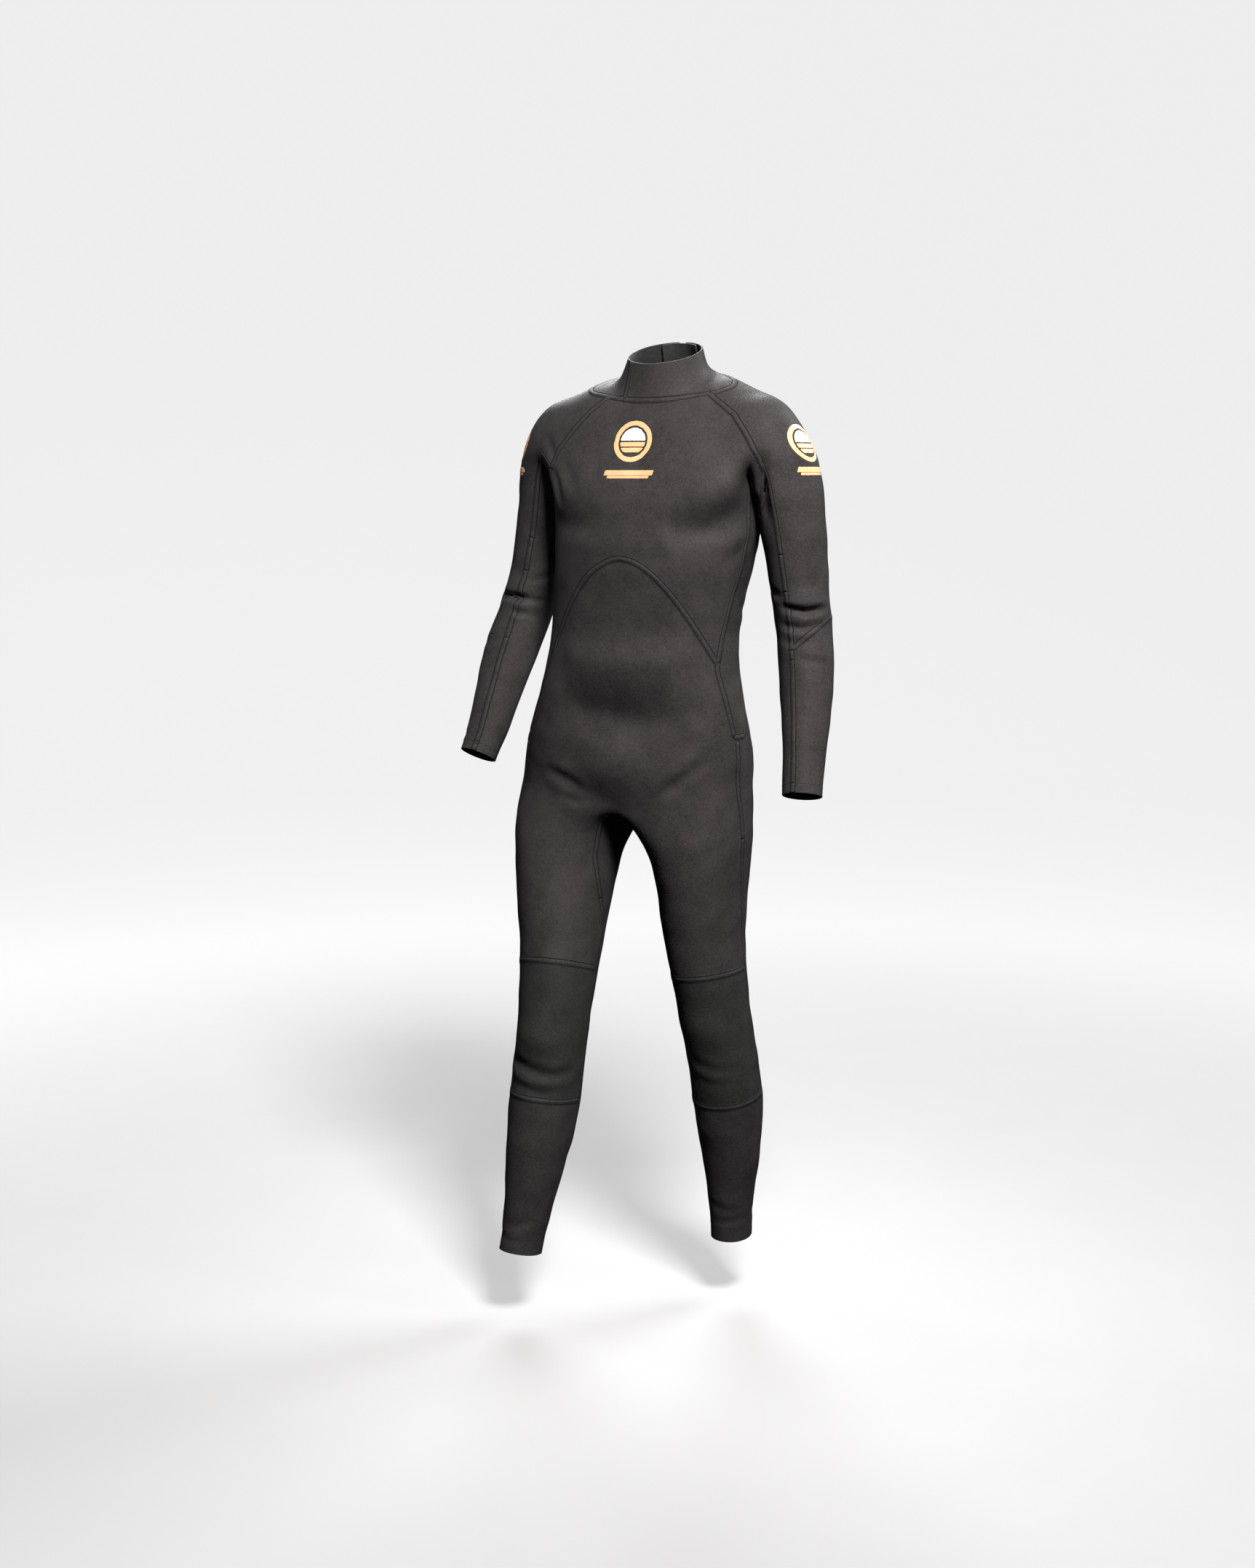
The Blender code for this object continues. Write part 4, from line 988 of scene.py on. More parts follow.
def cut_panels(skin):
    """The seams of the suit, and the lines across which its limbs bend."""
    cut, rename = skin.cut, skin.rename
    cut("body", collar_base, "collar")
    for side, (way, arm, leg) in LIMBS.items():
        cut("body", lambda p: ARMPIT - p[:, 2], "sleeve",
            lambda c, m: (m == ARM) & (way * (c[:, 0] - BODY_MIDDLE) > 0))
        cut("body", raglan(side), "sleeve",
            lambda c, m: (way * (c[:, 0] - BODY_MIDDLE) > 0.03) & (c[:, 2] > ARMPIT))
        cut("sleeve", shoulder_line(side, SHOULDER_LENGTH), "upper")
        cut("upper", past(arm, ELBOW[side] + ELBOW_HALF), "elbow")
        cut("elbow", past(arm, ELBOW[side] - ELBOW_HALF), "forearm")
        cut("forearm", end_of(arm, WRIST_HEM), "wrist")
        for zone, name in (("upper", "upper_sleeve"), ("elbow", "elbow_panel"), ("forearm", "forearm")):
            cut(zone, over_sleeve(side), name + "_outer_" + side)
            rename(zone, name + "_inner_" + side)
        cut_elbow(skin, side)
        cut("sleeve", over_sleeve(side), "shoulder_panel_" + side,
            lambda c, m: shoulder_line(side)(c) > UNDERARM)
        rename("sleeve", "shoulder_panel_" + side + "/under",
               lambda c, m: (over_sleeve(side)(c) < 0) & (shoulder_line(side)(c) > UNDERARM))
        rename("sleeve", "shoulder_panel_" + side)
        cut("wrist", over_sleeve(side), "wrist_hem_" + side)
        rename("wrist", "wrist_hem_" + side + "/under")

        cut("body", groin(side), "leg",
            lambda c, m: (way * (c[:, 0] - GROIN[0]) > 0) & (c[:, 2] < 1.05))
        cut("leg", groin(side, HIP_LENGTH), "thigh")
        top, bottom = KNEE_SEAMS[side]
        cut("thigh", past(leg, top), "knee")
        cut("knee", past(leg, bottom), "shin")
        cut("shin", end_of(leg, ANKLE_HEM), "ankle")
        for zone, front, back in (
            ("leg", "hip_front_", "hip_back_"),
            ("thigh", "thigh_front_", "thigh_back_"),
            ("knee", "knee_pad_", "knee_back_"),
            ("shin", "shin_panel_", "calf_panel_"),
        ):
            cut(zone, front_of_leg(side), front + side)
            rename(zone, back + side)
        cut("ankle", front_of_leg(side), "ankle_hem_" + side)
        rename("ankle", "ankle_hem_" + side + "/back")

    cut("body", lambda p: GUSSET_TOP - p[:, 2], "crotch_gusset")
    cut("body", lambda p: FRONT_SIDE(p[:, 2]) - p[:, 1], "front")
    cut("front", arch, "abdomen_panel")
    rename("front", "chest_panel")
    for side, (way, _, _) in LIMBS.items():
        cut("body", lambda p: BACK_SIDE(p[:, 2]) - p[:, 1], "side",
            lambda c, m: way * (c[:, 0] - BODY_MIDDLE) > 0)
        cut("side", lambda p: p[:, 2] - SIDE_BOTTOM, "side_panel_" + side)
    rename("side", "body")
    cut("body", lambda p: p[:, 2] - LUMBAR, "back")
    rename("body", "seat_panel")
    behind = lambda c, m: c[:, 1] > 0.05
    for name in ("back", "collar"):
        cut(name, lambda p: zip_side(p) + ZIP_SLOT, name + "_half", behind)
        cut(name + "_half", lambda p: ZIP_SLOT - zip_side(p), "slot")
    rename("back_half", "back_panel_left")
    rename("back", "back_panel_right")
    rename("collar_half", "collar/left")
    half = lambda p: (p[:, 0] - NECK[0]) * 0.752 - (p[:, 1] - NECK[1]) * 0.658
    cut("collar", half, "collar/left",
        lambda c, m: (c[:, 0] - NECK[0]) * -0.66 + (c[:, 1] - NECK[1]) * -0.75 > 0)
    rename("collar", "collar/left", lambda c, m: half(c) > 0)
    skin.merge_scraps()
    return skin


# ---------------------------------------------------------------- pieces from the skin
def new_object(name, p, faces, materials, numbers=None, normals=None):
    """An object in the frame's coordinates from points in the tables' coordinates."""
    mesh = bpy.data.meshes.new(name)
    mesh.from_pydata((np.asarray(p) - NECK).tolist(), [], [list(map(int, f)) for f in faces])
    for made in materials:
        mesh.materials.append(made)
    if numbers is not None:
        mesh.polygons.foreach_set("material_index", numbers)
    mesh.shade_smooth()
    if normals is not None:
        mesh.normals_split_custom_set(normals)
    made = bpy.data.objects.new(name, mesh)
    scene.collection.objects.link(made)
    return made


RIM = ((0.22, 0.65), (0.5, 1.0), (0.78, 0.65))  # depth along an open edge, share of its roll there
RIM_ROLL = 0.0008


def shell(skin, numbers, top, bottom, closed_by=None):
    """The faces of some labels as a closed solid between two depths under the surface."""
    t = skin.T[np.isin(skin.L, numbers)]
    used, flat = np.unique(t, return_inverse=True)
    t = flat.reshape(-1, 3)
    p, n = skin.P[used], skin.N[used]
    edges = edges_of(t)
    keys = np.sort(edges, axis=1)
    keys = keys[:, 0] * len(p) + keys[:, 1]
    _, index, count = np.unique(keys, return_inverse=True, return_counts=True)
    index = index.reshape(-1)
    border = np.flatnonzero(count[index] == 1)
    e, third = edges[border], t.reshape(-1)[(border // 3) * 3 + (border % 3 + 2) % 3]
    along = unit(p[e[:, 1]] - p[e[:, 0]])
    out = p[e[:, 0]] - p[third]
    out = unit(out - (out * along).sum(1)[:, None] * along)
    roll = unit(summed(e[:, 0], out, len(p)) + summed(e[:, 1], out, len(p)))
    open_edge = np.ones(len(e), bool)
    if closed_by is not None:
        open_edge = ~np.isin(used[e].min(1) * EDGE_KEY + used[e].max(1), closed_by)
    loose = np.zeros(len(p), bool)
    loose[e[open_edge]] = True
    edge_points = np.unique(e)
    points = [p + n * top, p + n * bottom]
    offset = 2 * len(p)
    place = np.zeros(len(p), int)
    place[edge_points] = np.arange(len(edge_points))
    steps = [(lambda v: v)]
    for share, bulge in RIM:
        level = p[edge_points] + n[edge_points] * (top + (bottom - top) * share)
        level = level + roll[edge_points] * (bulge * RIM_ROLL * loose[edge_points])[:, None]
        points.append(level)
        base = offset
        steps.append(lambda v, base=base: base + place[v])
        offset += len(edge_points)
    steps.append(lambda v: v + len(p))
    faces = [t, t[:, ::-1] + len(p)]
    for above, below in zip(steps, steps[1:]):
        a, b = above(e[:, 0]), above(e[:, 1])
        c, d = below(e[:, 0]), below(e[:, 1])
        first = (used[e[:, 0]] < used[e[:, 1]])[:, None]
        faces.append(np.where(first, np.stack([b, a, d], 1), np.stack([b, a, c], 1)))
        faces.append(np.where(first, np.stack([a, c, d], 1), np.stack([b, c, d], 1)))
    faces = np.concatenate(faces)
    normals = np.zeros((len(faces), 3, 3))
    normals[: len(t)] = n[t]
    normals[len(t): 2 * len(t)] = -n[t[:, ::-1]]
    inside = np.zeros(len(faces), int)
    inside[len(t): 2 * len(t)] = 1
    return np.concatenate(points), faces, inside, normals.reshape(-1, 3)


def neighbours(skin):
    """The ends of every edge between two triangles with unlike labels, and the two labels."""
    ends, f, g = twin_edges(skin.T)
    unlike = skin.L[f] != skin.L[g]
    labels = np.stack([skin.L[f], skin.L[g]], 1)[unlike]
    return ends[unlike], np.sort(labels, axis=1)


def chains(links):
    """Point numbers in order along each line that a set of edges makes; a loop ends where it starts."""
    near = {}
    for a, b in links:
        near.setdefault(a, []).append(b)
        near.setdefault(b, []).append(a)
    left = {tuple(sorted(pair)) for pair in links}
    found = []

    def walk(start):
        line = [start]
        while True:
            ahead = [v for v in near[line[-1]] if tuple(sorted((line[-1], v))) in left]
            if not ahead:
                return line
            if len(line) > 1 and len(ahead) > 1:
                ahead.sort(key=lambda v: -float(np.dot(
                    unit(SUIT.P[v] - SUIT.P[line[-1]]), unit(SUIT.P[line[-1]] - SUIT.P[line[-2]]))))
            left.discard(tuple(sorted((line[-1], ahead[0]))))
            line.append(ahead[0])

    for start in sorted(v for v in near if len(near[v]) != 2):
        while any(tuple(sorted((start, v))) in left for v in near[start]):
            found.append(walk(start))
    for start in sorted(near):
        while any(tuple(sorted((start, v))) in left for v in near[start]):
            found.append(walk(start))
    return found


def even(line, step, smooth=4):
    """A polyline smoothed and cut into equal steps."""
    closed = np.linalg.norm(line[0] - line[-1]) < 1e-7
    for _ in range(smooth):
        if closed:
            body = line[:-1]
            body = (np.roll(body, 1, 0) + 2 * body + np.roll(body, -1, 0)) / 4
            line = np.concatenate([body, body[:1]])
        elif len(line) > 2:
            line = np.concatenate([line[:1], (line[:-2] + 2 * line[1:-1] + line[2:]) / 4, line[-1:]])
    run = np.concatenate([[0], np.cumsum(np.linalg.norm(np.diff(line, axis=0), axis=1))])
    count = max(int(round(run[-1] / step)), 1)
    at = np.linspace(0, run[-1], count + 1)
    return np.stack([np.interp(at, run, line[:, k]) for k in range(3)], axis=1), closed


def sideways(skin, line, closed):
    """The seam's sideways direction at each point of a line."""
    normal = np.array([skin.ground(p)[1] for p in line])
    if closed:
        ahead, behind = np.roll(line[:-1], -1, 0), np.roll(line[:-1], 1, 0)
        way = unit(np.concatenate([ahead - behind, (ahead - behind)[:1]]))
    else:
        way = unit(np.gradient(line, axis=0)) if len(line) > 1 else np.zeros_like(line)
    return unit(np.cross(normal, way))


SEAM_STEP = 0.0036
BAND = (  # a flatlock seam across its width, in mm: sideways and above the cloth
    (-6.0, -0.30), (-5.7, 0.15), (-5.2, 0.45), (-4.8, 0.12), (-3.4, 0.12), (-3.0, 0.50),
    (0.0, 0.64),
    (3.0, 0.50), (3.4, 0.12), (4.8, 0.12), (5.2, 0.45), (5.7, 0.15), (6.0, -0.30),
)
DARK = (2, 3, 4, 7, 8, 9)  # the faces of the band that lie in its two stitched furrows
ROW_AT = 0.0041
STITCH = 0.0034
TIP_IN, TIP_DOWN = 0.0003, 0.00025  # how far a thread's tips are drawn in, and sunk into the cloth
THREAD_TOP, THREAD_SIDE, THREAD_LOW = 0.00034, 0.00042, 0.00012
SHORTEST_SEAM = 0.012


class Trim:
    """Seam bands and stitches, collected for each panel that they're sewn to."""

    def __init__(self):
        self.p, self.f, self.m, self.count = {}, {}, {}, {}

    def add(self, owner, points, faces, number):
        first = self.count.get(owner, 0)
        self.p.setdefault(owner, []).append(points)
        self.f.setdefault(owner, []).append(np.asarray(faces) + first)
        self.m.setdefault(owner, []).append(np.broadcast_to(number, len(faces)))
        self.count[owner] = first + len(points)


def band(skin, trim, line, closed, owners):
    """Lays a seam band along a line, broken where its owner changes."""
    side = sideways(skin, line, closed)
    rings = []
    for p, s in zip(line, side):
        ring = []
        for across, above in BAND:
            at, up = skin.ground(p + s * (across * 0.001))
            ring.append(at + up * (above * 0.001))
        rings.append(ring)
    rings = np.array(rings)
    width = len(BAND)
    start = 0
    while start < len(line) - 1:
        stop = start
        while stop < len(line) - 1 and owners[stop] == owners[start]:
            stop += 1
        part = rings[start: stop + 1]
        count = len(part)
        faces, kinds = [], []
        for i in range(count - 1):
            a, b = i * width, (i + 1) * width
            for j in range(width):
                k = (j + 1) % width
                faces += [[a + j, a + k, b + k], [a + j, b + k, b + j]]
                kinds += [int(j in DARK)] * 2
        for j in range(1, width - 1):
            faces.append([0, j + 1, j])
            last = (count - 1) * width
            faces.append([last, last + j, last + j + 1])
            kinds += [0, 0]
        trim.add(owners[start], part.reshape(-1, 3), faces, kinds)
        start = stop


def stitches(skin, trim, line, closed, owner_at, offsets, above=0.00030):
    """Rows of short threads along a line, each row a given distance to one side."""
    fine, closed = even(line, STITCH, 0)
    side = sideways(skin, fine, closed)
    for offset in offsets:
        ground = [skin.ground(p + s * offset) for p, s in zip(fine, side)]
        at = np.array([g + n * above for g, n in ground])
        up = np.array([n for _, n in ground])
        for i in range(len(at) - 1):
            a, b = at[i], at[i + 1]
            length = np.linalg.norm(b - a)
            if length < 0.001:
                continue
            way_i = (b - a) / length
            n = up[i]
            s = np.cross(n, way_i)
            points = [a + way_i * TIP_IN - n * TIP_DOWN, b - way_i * TIP_IN - n * TIP_DOWN]
            for share in (0.26, 0.74):
                c = a + (b - a) * share
                low = c - n * THREAD_LOW
                points += [c + n * THREAD_TOP, low + s * THREAD_SIDE, low - s * THREAD_SIDE]
            faces = [[0, 3, 2], [0, 4, 3], [0, 2, 4], [1, 5, 6], [1, 6, 7], [1, 7, 5]]
            for j in range(3):
                k = (j + 1) % 3
                faces += [[2 + j, 2 + k, 5 + k], [2 + j, 5 + k, 5 + j]]
            trim.add(owner_at(fine[i] * 0.5 + fine[i + 1] * 0.5), np.array(points), faces, 1)


BODY = Skin()
SUIT = cut_panels(BODY.copy())

UNUSED = {"body", "slot", "sleeve", "upper", "elbow", "forearm", "wrist", "leg", "thigh", "knee",
          "shin", "ankle", "front", "side", "back", "back_half", "collar_half"}
PANELS = {}
for number, name in enumerate(SUIT.names):
    if name not in UNUSED and (SUIT.L == number).any():
        PANELS.setdefault(name.split("/")[0], []).append(number)

LINK_ENDS, LINK_LABELS = neighbours(SUIT)
slot_number = SUIT.names.index("slot")
inner_links = ~(LINK_LABELS == slot_number).any(axis=1)
SHARED_EDGES = LINK_ENDS[inner_links][:, 0] * EDGE_KEY + LINK_ENDS[inner_links][:, 1]

pieces = {}
for name, numbers in PANELS.items():
    points, faces, inside, normals = shell(SUIT, numbers, 0.0, -NEOPRENE, SHARED_EDGES)
    outer = KNEE if name.startswith("knee_pad") else JERSEY
    pieces[name] = new_object("neoprene_" + name, points, faces, [outer, LINING], inside, normals)

# ---------------------------------------------------------------- seams
TRIM = Trim()


def part_of(number):
    return SUIT.names[number].split("/")[0]


def family(name):
    for tail in ("_left", "_right"):
        name = name.replace(tail, "")
    return name.split("/")[0]


PLAIN = {  # pairs that only mark where a limb bends: nothing is sewn there
    "shoulder_panel": ("upper_sleeve_outer", "upper_sleeve_inner"),
    "upper_sleeve_outer": ("elbow_panel_outer",),
    "upper_sleeve_inner": ("elbow_panel_inner",),
    "elbow_panel_outer": ("forearm_outer",),
    "elbow_panel_inner": ("forearm_inner",),
    "hip_front": ("abdomen_panel", "seat_panel", "thigh_front", "thigh_back", "crotch_gusset",
                  "hip_front", "side_panel"),
    "hip_back": ("seat_panel", "abdomen_panel", "thigh_back", "thigh_front", "crotch_gusset", "hip_back",
                 "side_panel"),
    "seat_panel": ("crotch_gusset",),
    "thigh_back": ("knee_back",),
    "knee_back": ("calf_panel",),
    "chest_panel": ("seat_panel",),
    "abdomen_panel": ("crotch_gusset",),
}
PLAIN = {frozenset((a, b)) for a, others in PLAIN.items() for b in others}
HEMS = ("wrist_hem", "ankle_hem")
FIRST = ("chest_panel", "thigh_front", "hip_front", "shin_panel", "knee_pad", "abdomen_panel",
         "back_panel", "side_panel", "seat_panel", "crotch_gusset", "forearm", "upper_sleeve",
         "elbow_panel", "shoulder_panel")


def sewn_to(a, b):
    """Which of two panels carries the seam between them."""
    for start in FIRST:
        for name in (a, b):
            if name.startswith(start):
                return name
    return a


seam_links, hem_links, line_owner = [], [], {}
for (a, b), (m, n) in zip(LINK_ENDS.tolist(), LINK_LABELS.tolist()):
    if slot_number in (m, n):
        continue
    first, second = SUIT.names[m], SUIT.names[n]
    pair = frozenset((family(first), family(second)))
    if pair in PLAIN or (len(pair) == 1 and part_of(m) != part_of(n) and "hip" in first):
        continue
    owner = sewn_to(part_of(m), part_of(n))
    hem = any(family(x) in HEMS for x in (first, second)) and part_of(m) != part_of(n)
    (hem_links if hem else seam_links).append((a, b))
    line_owner[(a, b)] = owner

middles = KDTree(len(line_owner))
owner_names = []
for i, ((a, b), owner) in enumerate(line_owner.items()):
    middles.insert(Vector((SUIT.P[a] + SUIT.P[b]) / 2), i)
    owner_names.append(owner)
middles.balance()


def owner_at(point):
    return owner_names[middles.find(Vector(point))[1]]


for kind, links in (("seam", seam_links), ("hem", hem_links)):
    for chain in chains(links):
        line = SUIT.P[chain]
        length = np.linalg.norm(np.diff(line, axis=0), axis=1).sum()
        if length < SHORTEST_SEAM:
            continue
        line, closed = even(line, SEAM_STEP, 10)
        owners = [owner_at((a + b) / 2) for a, b in zip(line, line[1:])]
        if kind == "seam":
            band(BODY, TRIM, line, closed, owners)
            stitches(BODY, TRIM, line, closed, owner_at, (-ROW_AT, ROW_AT))
        else:
            stitches(BODY, TRIM, line, closed, owner_at, (0.0,), 0.0001)

# the zip's edges are sewn down with two rows on each side
for side in (-1, 1):
    for away in (0.0035, 0.0095):
        heights = np.arange(1.090, 1.519, STITCH)
        line = np.array([on_zip(z, 0.0, side * (ZIP_SLOT + away)) for z in heights])
        name = {-1: "back_panel_right", 1: "back_panel_left"}[side]
        low = line[:, 2] < COLLAR_AT_ZIP
        for part, where in ((line[low], name), (line[~low], "collar")):
            if len(part) > 1:
                stitches(BODY, TRIM, part, False, lambda p, where=where: where, (0.0,), 0.0001)

seams = {}
for owner in TRIM.p:
    seams[owner] = new_object(
        "seams_" + owner, np.concatenate(TRIM.p[owner]), np.concatenate(TRIM.f[owner]),
        [KNEE if owner.startswith("knee_pad") else JERSEY, THREAD], np.concatenate(TRIM.m[owner]),
    )

# ---------------------------------------------------------------- which body carries each panel
TORSO_PIECES = ("collar", "chest_panel", "abdomen_panel", "side_panel_left", "side_panel_right",
                "back_panel_left", "back_panel_right", "seat_panel", "crotch_gusset")


def frame_point(p):
    return tuple(float(x) for x in np.asarray(p) - NECK)


def between(sections, top, bottom):
    """The middles of a limb at the two heights where its bend starts and ends."""
    centre = lambda z: np.array([column(sections, n)(z) for n in ("x", "y")] + [z])
    return centre(top), centre(bottom)


def zone(name, above, below, start, end):
    """A bending zone's start and end, drawn in so that both rims of a panel lie outside it."""
    way = unit(end - start)
    numbers = PANELS[name]
    own = np.unique(SUIT.T[np.isin(SUIT.L, numbers)])
    run = (SUIT.P[own] - start) @ way
    rims = []
    for others in (above, below):
        wanted = [n for o in others for n in PANELS[o]]
        near = np.isin(LINK_LABELS, numbers).any(1) & np.isin(LINK_LABELS, wanted).any(1)
        rims.append((SUIT.P[np.unique(LINK_ENDS[near])] - start) @ way)
    return rims[0].max(), rims[1].min(), way


RIDES = {"upper_sleeve": "upper_arm_", "forearm": "forearm_", "wrist": "forearm_", "thigh": "thigh_",
         "shin": "shin_", "calf": "shin_", "ankle": "shin_"}


def carry(name, obj):
    """Parents one of a panel's objects to the body that carries it; a panel over a shoulder, hip, elbow
    or knee is left where it is.
    """
    side = name.rsplit("_", 1)[-1]
    way = LIMBS.get(side, (0,))[0]
    if name in TORSO_PIECES:
        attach(obj, "torso")
    elif name.startswith("shoulder_panel"):
        start = SHOULDER_START[side]
        end = start + np.array((way * SHOULDER_LINE[0], 0, SHOULDER_LINE[1])) * SHOULDER_LENGTH
        frame_point(start)
        frame_point(end)
        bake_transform(obj)
    elif name.startswith("hip"):
        end = GROIN + np.array((way * GROIN_SLOPE[0], 0, GROIN_SLOPE[1])) * HIP_LENGTH
        frame_point(GROIN)
        frame_point(end)
        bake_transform(obj)
    elif name.startswith(("elbow", "knee")):
        start, end = ZONES[name]
        frame_point(start)
        frame_point(end)
        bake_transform(obj)
    else:
        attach(obj, next(body for start, body in RIDES.items() if name.startswith(start)) + side)


ZONES = {}
for side, (_, arm, leg) in LIMBS.items():
    z = ELBOW[side]
    start, end = between(arm, z + ELBOW_HALF, z - ELBOW_HALF)
    found = [zone(f"elbow_panel_{half}_{side}", [f"upper_sleeve_{half}_{side}"],
                  [f"forearm_{half}_{side}"], start, end) for half in ("outer", "inner")]
    low, high, along = max(f[0] for f in found), min(f[1] for f in found), found[0][2]
    for half in ("outer", "inner"):
        ZONES[f"elbow_panel_{half}_{side}"] = (start + along * low, start + along * high)
    top, bottom = KNEE_SEAMS[side]
    start, end = between(leg, top, bottom)
    found = [zone(f"knee_pad_{side}", [f"thigh_front_{side}"], [f"shin_panel_{side}"], start, end),
             zone(f"knee_back_{side}", [f"thigh_back_{side}"], [f"calf_panel_{side}"], start, end)]
    low, high, along = max(f[0] for f in found), min(f[1] for f in found), found[0][2]
    for half in ("pad", "back"):
        ZONES[f"knee_{half}_{side}"] = (start + along * low, start + along * high)

sewn_on = {name: [seams[name]] if name in seams else [] for name in pieces}
for name, obj in pieces.items():
    for made in [obj] + sewn_on[name]:
        carry(name, made)
    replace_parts(obj, name)

# ---------------------------------------------------------------- the printed badges
# the top and bottom of each thin piece above the cloth
PRINT_DEPTHS, FLAP_DEPTHS = (0.00045, 0.00010), (-0.0052, -0.0077)
HOOK_DEPTHS, TAB_DEPTHS = (0.0009, 0.0003), (0.0032, 0.0012)


def patch(name, fields, depths, material, keep, body="torso"):
    """A thin piece cut from the skin by fields and set above or below it."""
    skin = BODY.copy()
    skin.rename("body", "patch", keep)
    for field in fields:
        skin.cut("patch", lambda p: -field(p), "cut_away", snap=0.02)
    points, faces, _, normals = shell(skin, [skin.names.index("patch")], *depths)
    made = new_object(name, points, faces, [material], None, normals)
    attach(made, body)
    return made


def badge(prefix, across, z0, radius, keep):
    """A plain round badge: a ring, a half disc above, and two bars below."""
    far = lambda p: np.hypot(across(p), p[:, 2] - z0)
    high = lambda p: p[:, 2] - z0
    inner = radius * 0.66
    parts = {
        "ring": ([lambda p: radius - far(p), lambda p: far(p) - radius * 0.81], PRINT),
        "half": ([lambda p: inner - far(p), lambda p: high(p) - radius * 0.06], CREAM),
        "bar": ([lambda p: inner - far(p), lambda p: high(p) + radius * 0.24,
                 lambda p: -radius * 0.06 - high(p)], PRINT),
        "low": ([lambda p: inner - far(p), lambda p: high(p) + radius * 0.52,
                 lambda p: -radius * 0.34 - high(p)], PRINT),
    }
    return [patch(f"{prefix}_{part}", fields, PRINT_DEPTHS, material, keep)
            for part, (fields, material) in parts.items()]


def bars(prefix, across, z0, half, keep):
    """Two slanted bars below a badge, standing for its printed words; gives the upper one."""
    made = []
    for part, low, high, reach in (("upper", 0.0, 0.0065, half),
                                   ("lower", -0.0045, -0.0020, half * 0.85)):
        fields = [lambda p: p[:, 2] - z0 - low, lambda p: z0 + high - p[:, 2],
                  lambda p: reach - np.abs(across(p) - 0.3 * (p[:, 2] - z0 - low))]
        made.append(patch(f"{prefix}_{part}", fields, PRINT_DEPTHS, PRINT, keep))
    return made[0]


CHEST = (0.024, 1.402, 0.031)
from_chest = lambda p: p[:, 0] - CHEST[0]
in_front = lambda c, m: ((c[:, 1] < -0.02) & (np.abs(from_chest(c)) < 0.09)
                         & (c[:, 2] > 1.29) & (c[:, 2] < 1.47))
chest = badge("chest_badge", from_chest, CHEST[1], CHEST[2], in_front)
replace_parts(chest[0], "chest_badge")
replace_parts(bars("chest_bar", from_chest, 1.3505, 0.040, in_front), "chest_badge_bar")
for side, y0 in (("left", 0.010), ("right", 0.018)):
    way = LIMBS[side][0]
    outside = lambda c, m: ((way * (c[:, 0] - BODY_MIDDLE) > 0.17) & (c[:, 2] > 1.33) & (c[:, 2] < 1.46)
                            & (np.abs(c[:, 1] - y0) < 0.06))
    made = badge("sleeve_badge_" + side, lambda p: p[:, 1] - y0, 1.399, 0.028, outside)
    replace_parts(made[0], "sleeve_badge_" + side)
    bars("sleeve_bar_" + side, lambda p: p[:, 1] - y0, 1.3555, 0.027, outside)

# ---------------------------------------------------------------- the back zip
SHARP = 35  # degrees between two faces from which their edge is drawn sharp


def frame_at(z):
    """Across, along (upwards) and out from the zip's arc at one height."""
    angle = math.asin((z - ZIP_PIVOT[2]) / ZIP_RADIUS)
    out = unit(ZIP_OUT * math.cos(angle) + ZIP_UP * math.sin(angle))
    along = unit(np.cross(out, ZIP_AXIS))
    return ZIP_AXIS, along if along[2] > 0 else -along, out


def swept(name, heights, outline, material):
    """A bar along the zip's arc with an outline of (side, radius) points."""
    n = len(outline)
    points = [on_zip(z, r, s) for z in heights for s, r in outline]
    faces = []
    for i in range(len(heights) - 1):
        for j in range(n):
            k = (j + 1) % n
            faces.append([i * n + j, (i + 1) * n + j, (i + 1) * n + k, i * n + k])
    faces.append(list(range(n)))
    faces.append([(len(heights) - 1) * n + j for j in reversed(range(n))])
    made = new_object(name, points, faces, [material])
    outward(made)
    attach(made, "torso")
    return made


def outward(obj):
    bm = bmesh.new()
    bm.from_mesh(obj.data)
    bmesh.ops.recalc_face_normals(bm, faces=bm.faces)
    bm.to_mesh(obj.data)
    bm.free()
    obj.data.set_sharp_from_angle(angle=math.radians(SHARP))
    return obj


def strip(half_from, half_to, top, thick, steps):
    """An outline that follows the back's curve from one side to the other."""
    sides = np.linspace(half_from, half_to, steps + 1)
    drop = lambda s: -s * s / BACK_CURVE
    return [(s, drop(s) + top) for s in sides] + [(s, drop(s) + top - thick) for s in sides[::-1]]


heights = np.arange(ZIP_BOTTOM - 0.0075, ZIP_TOP + 0.0085, 0.006)
tapes, tape_edges = [], []
for way, side in ((-1, "right"), (1, "left")):
    outline = strip(way * 0.0012, way * 0.017, -0.0036, 0.0007, 5)
    tapes.append(swept("zip_tape_" + side, heights, outline, TAPE))
    cord = [(way * 0.0030 + 0.0007 * math.cos(a), -0.0032 + 0.0007 * math.sin(a))
            for a in np.linspace(0, 2 * math.pi, 9)[:-1]]
    tape_edges.append(swept("zip_tape_edge_" + side, heights, cord, TAPE))
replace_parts(tapes[0], "zip_tape")
behind = lambda c, m: (c[:, 1] > 0.04) & (c[:, 2] > 1.0) & (np.abs(c[:, 0] - BODY_MIDDLE) < 0.11)
flap_fields = [lambda p: 0.034 - np.abs(zip_side(p)), lambda p: p[:, 2] - 1.090,
               lambda p: 0.066 - collar_base(p)]
flap = patch("batten_flap", flap_fields, FLAP_DEPTHS, SMOOTH, behind)
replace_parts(flap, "batten_flap")


def box_ring(half_width, half_length, chamfer):
    w, l, c = half_width, half_length, chamfer
    half = [(w, -l + c), (w, l - c), (w - c, l), (-w + c, l)]
    return [(-w + c, -l), (w - c, -l), *half, (-w, l - c), (-w, -l + c)]


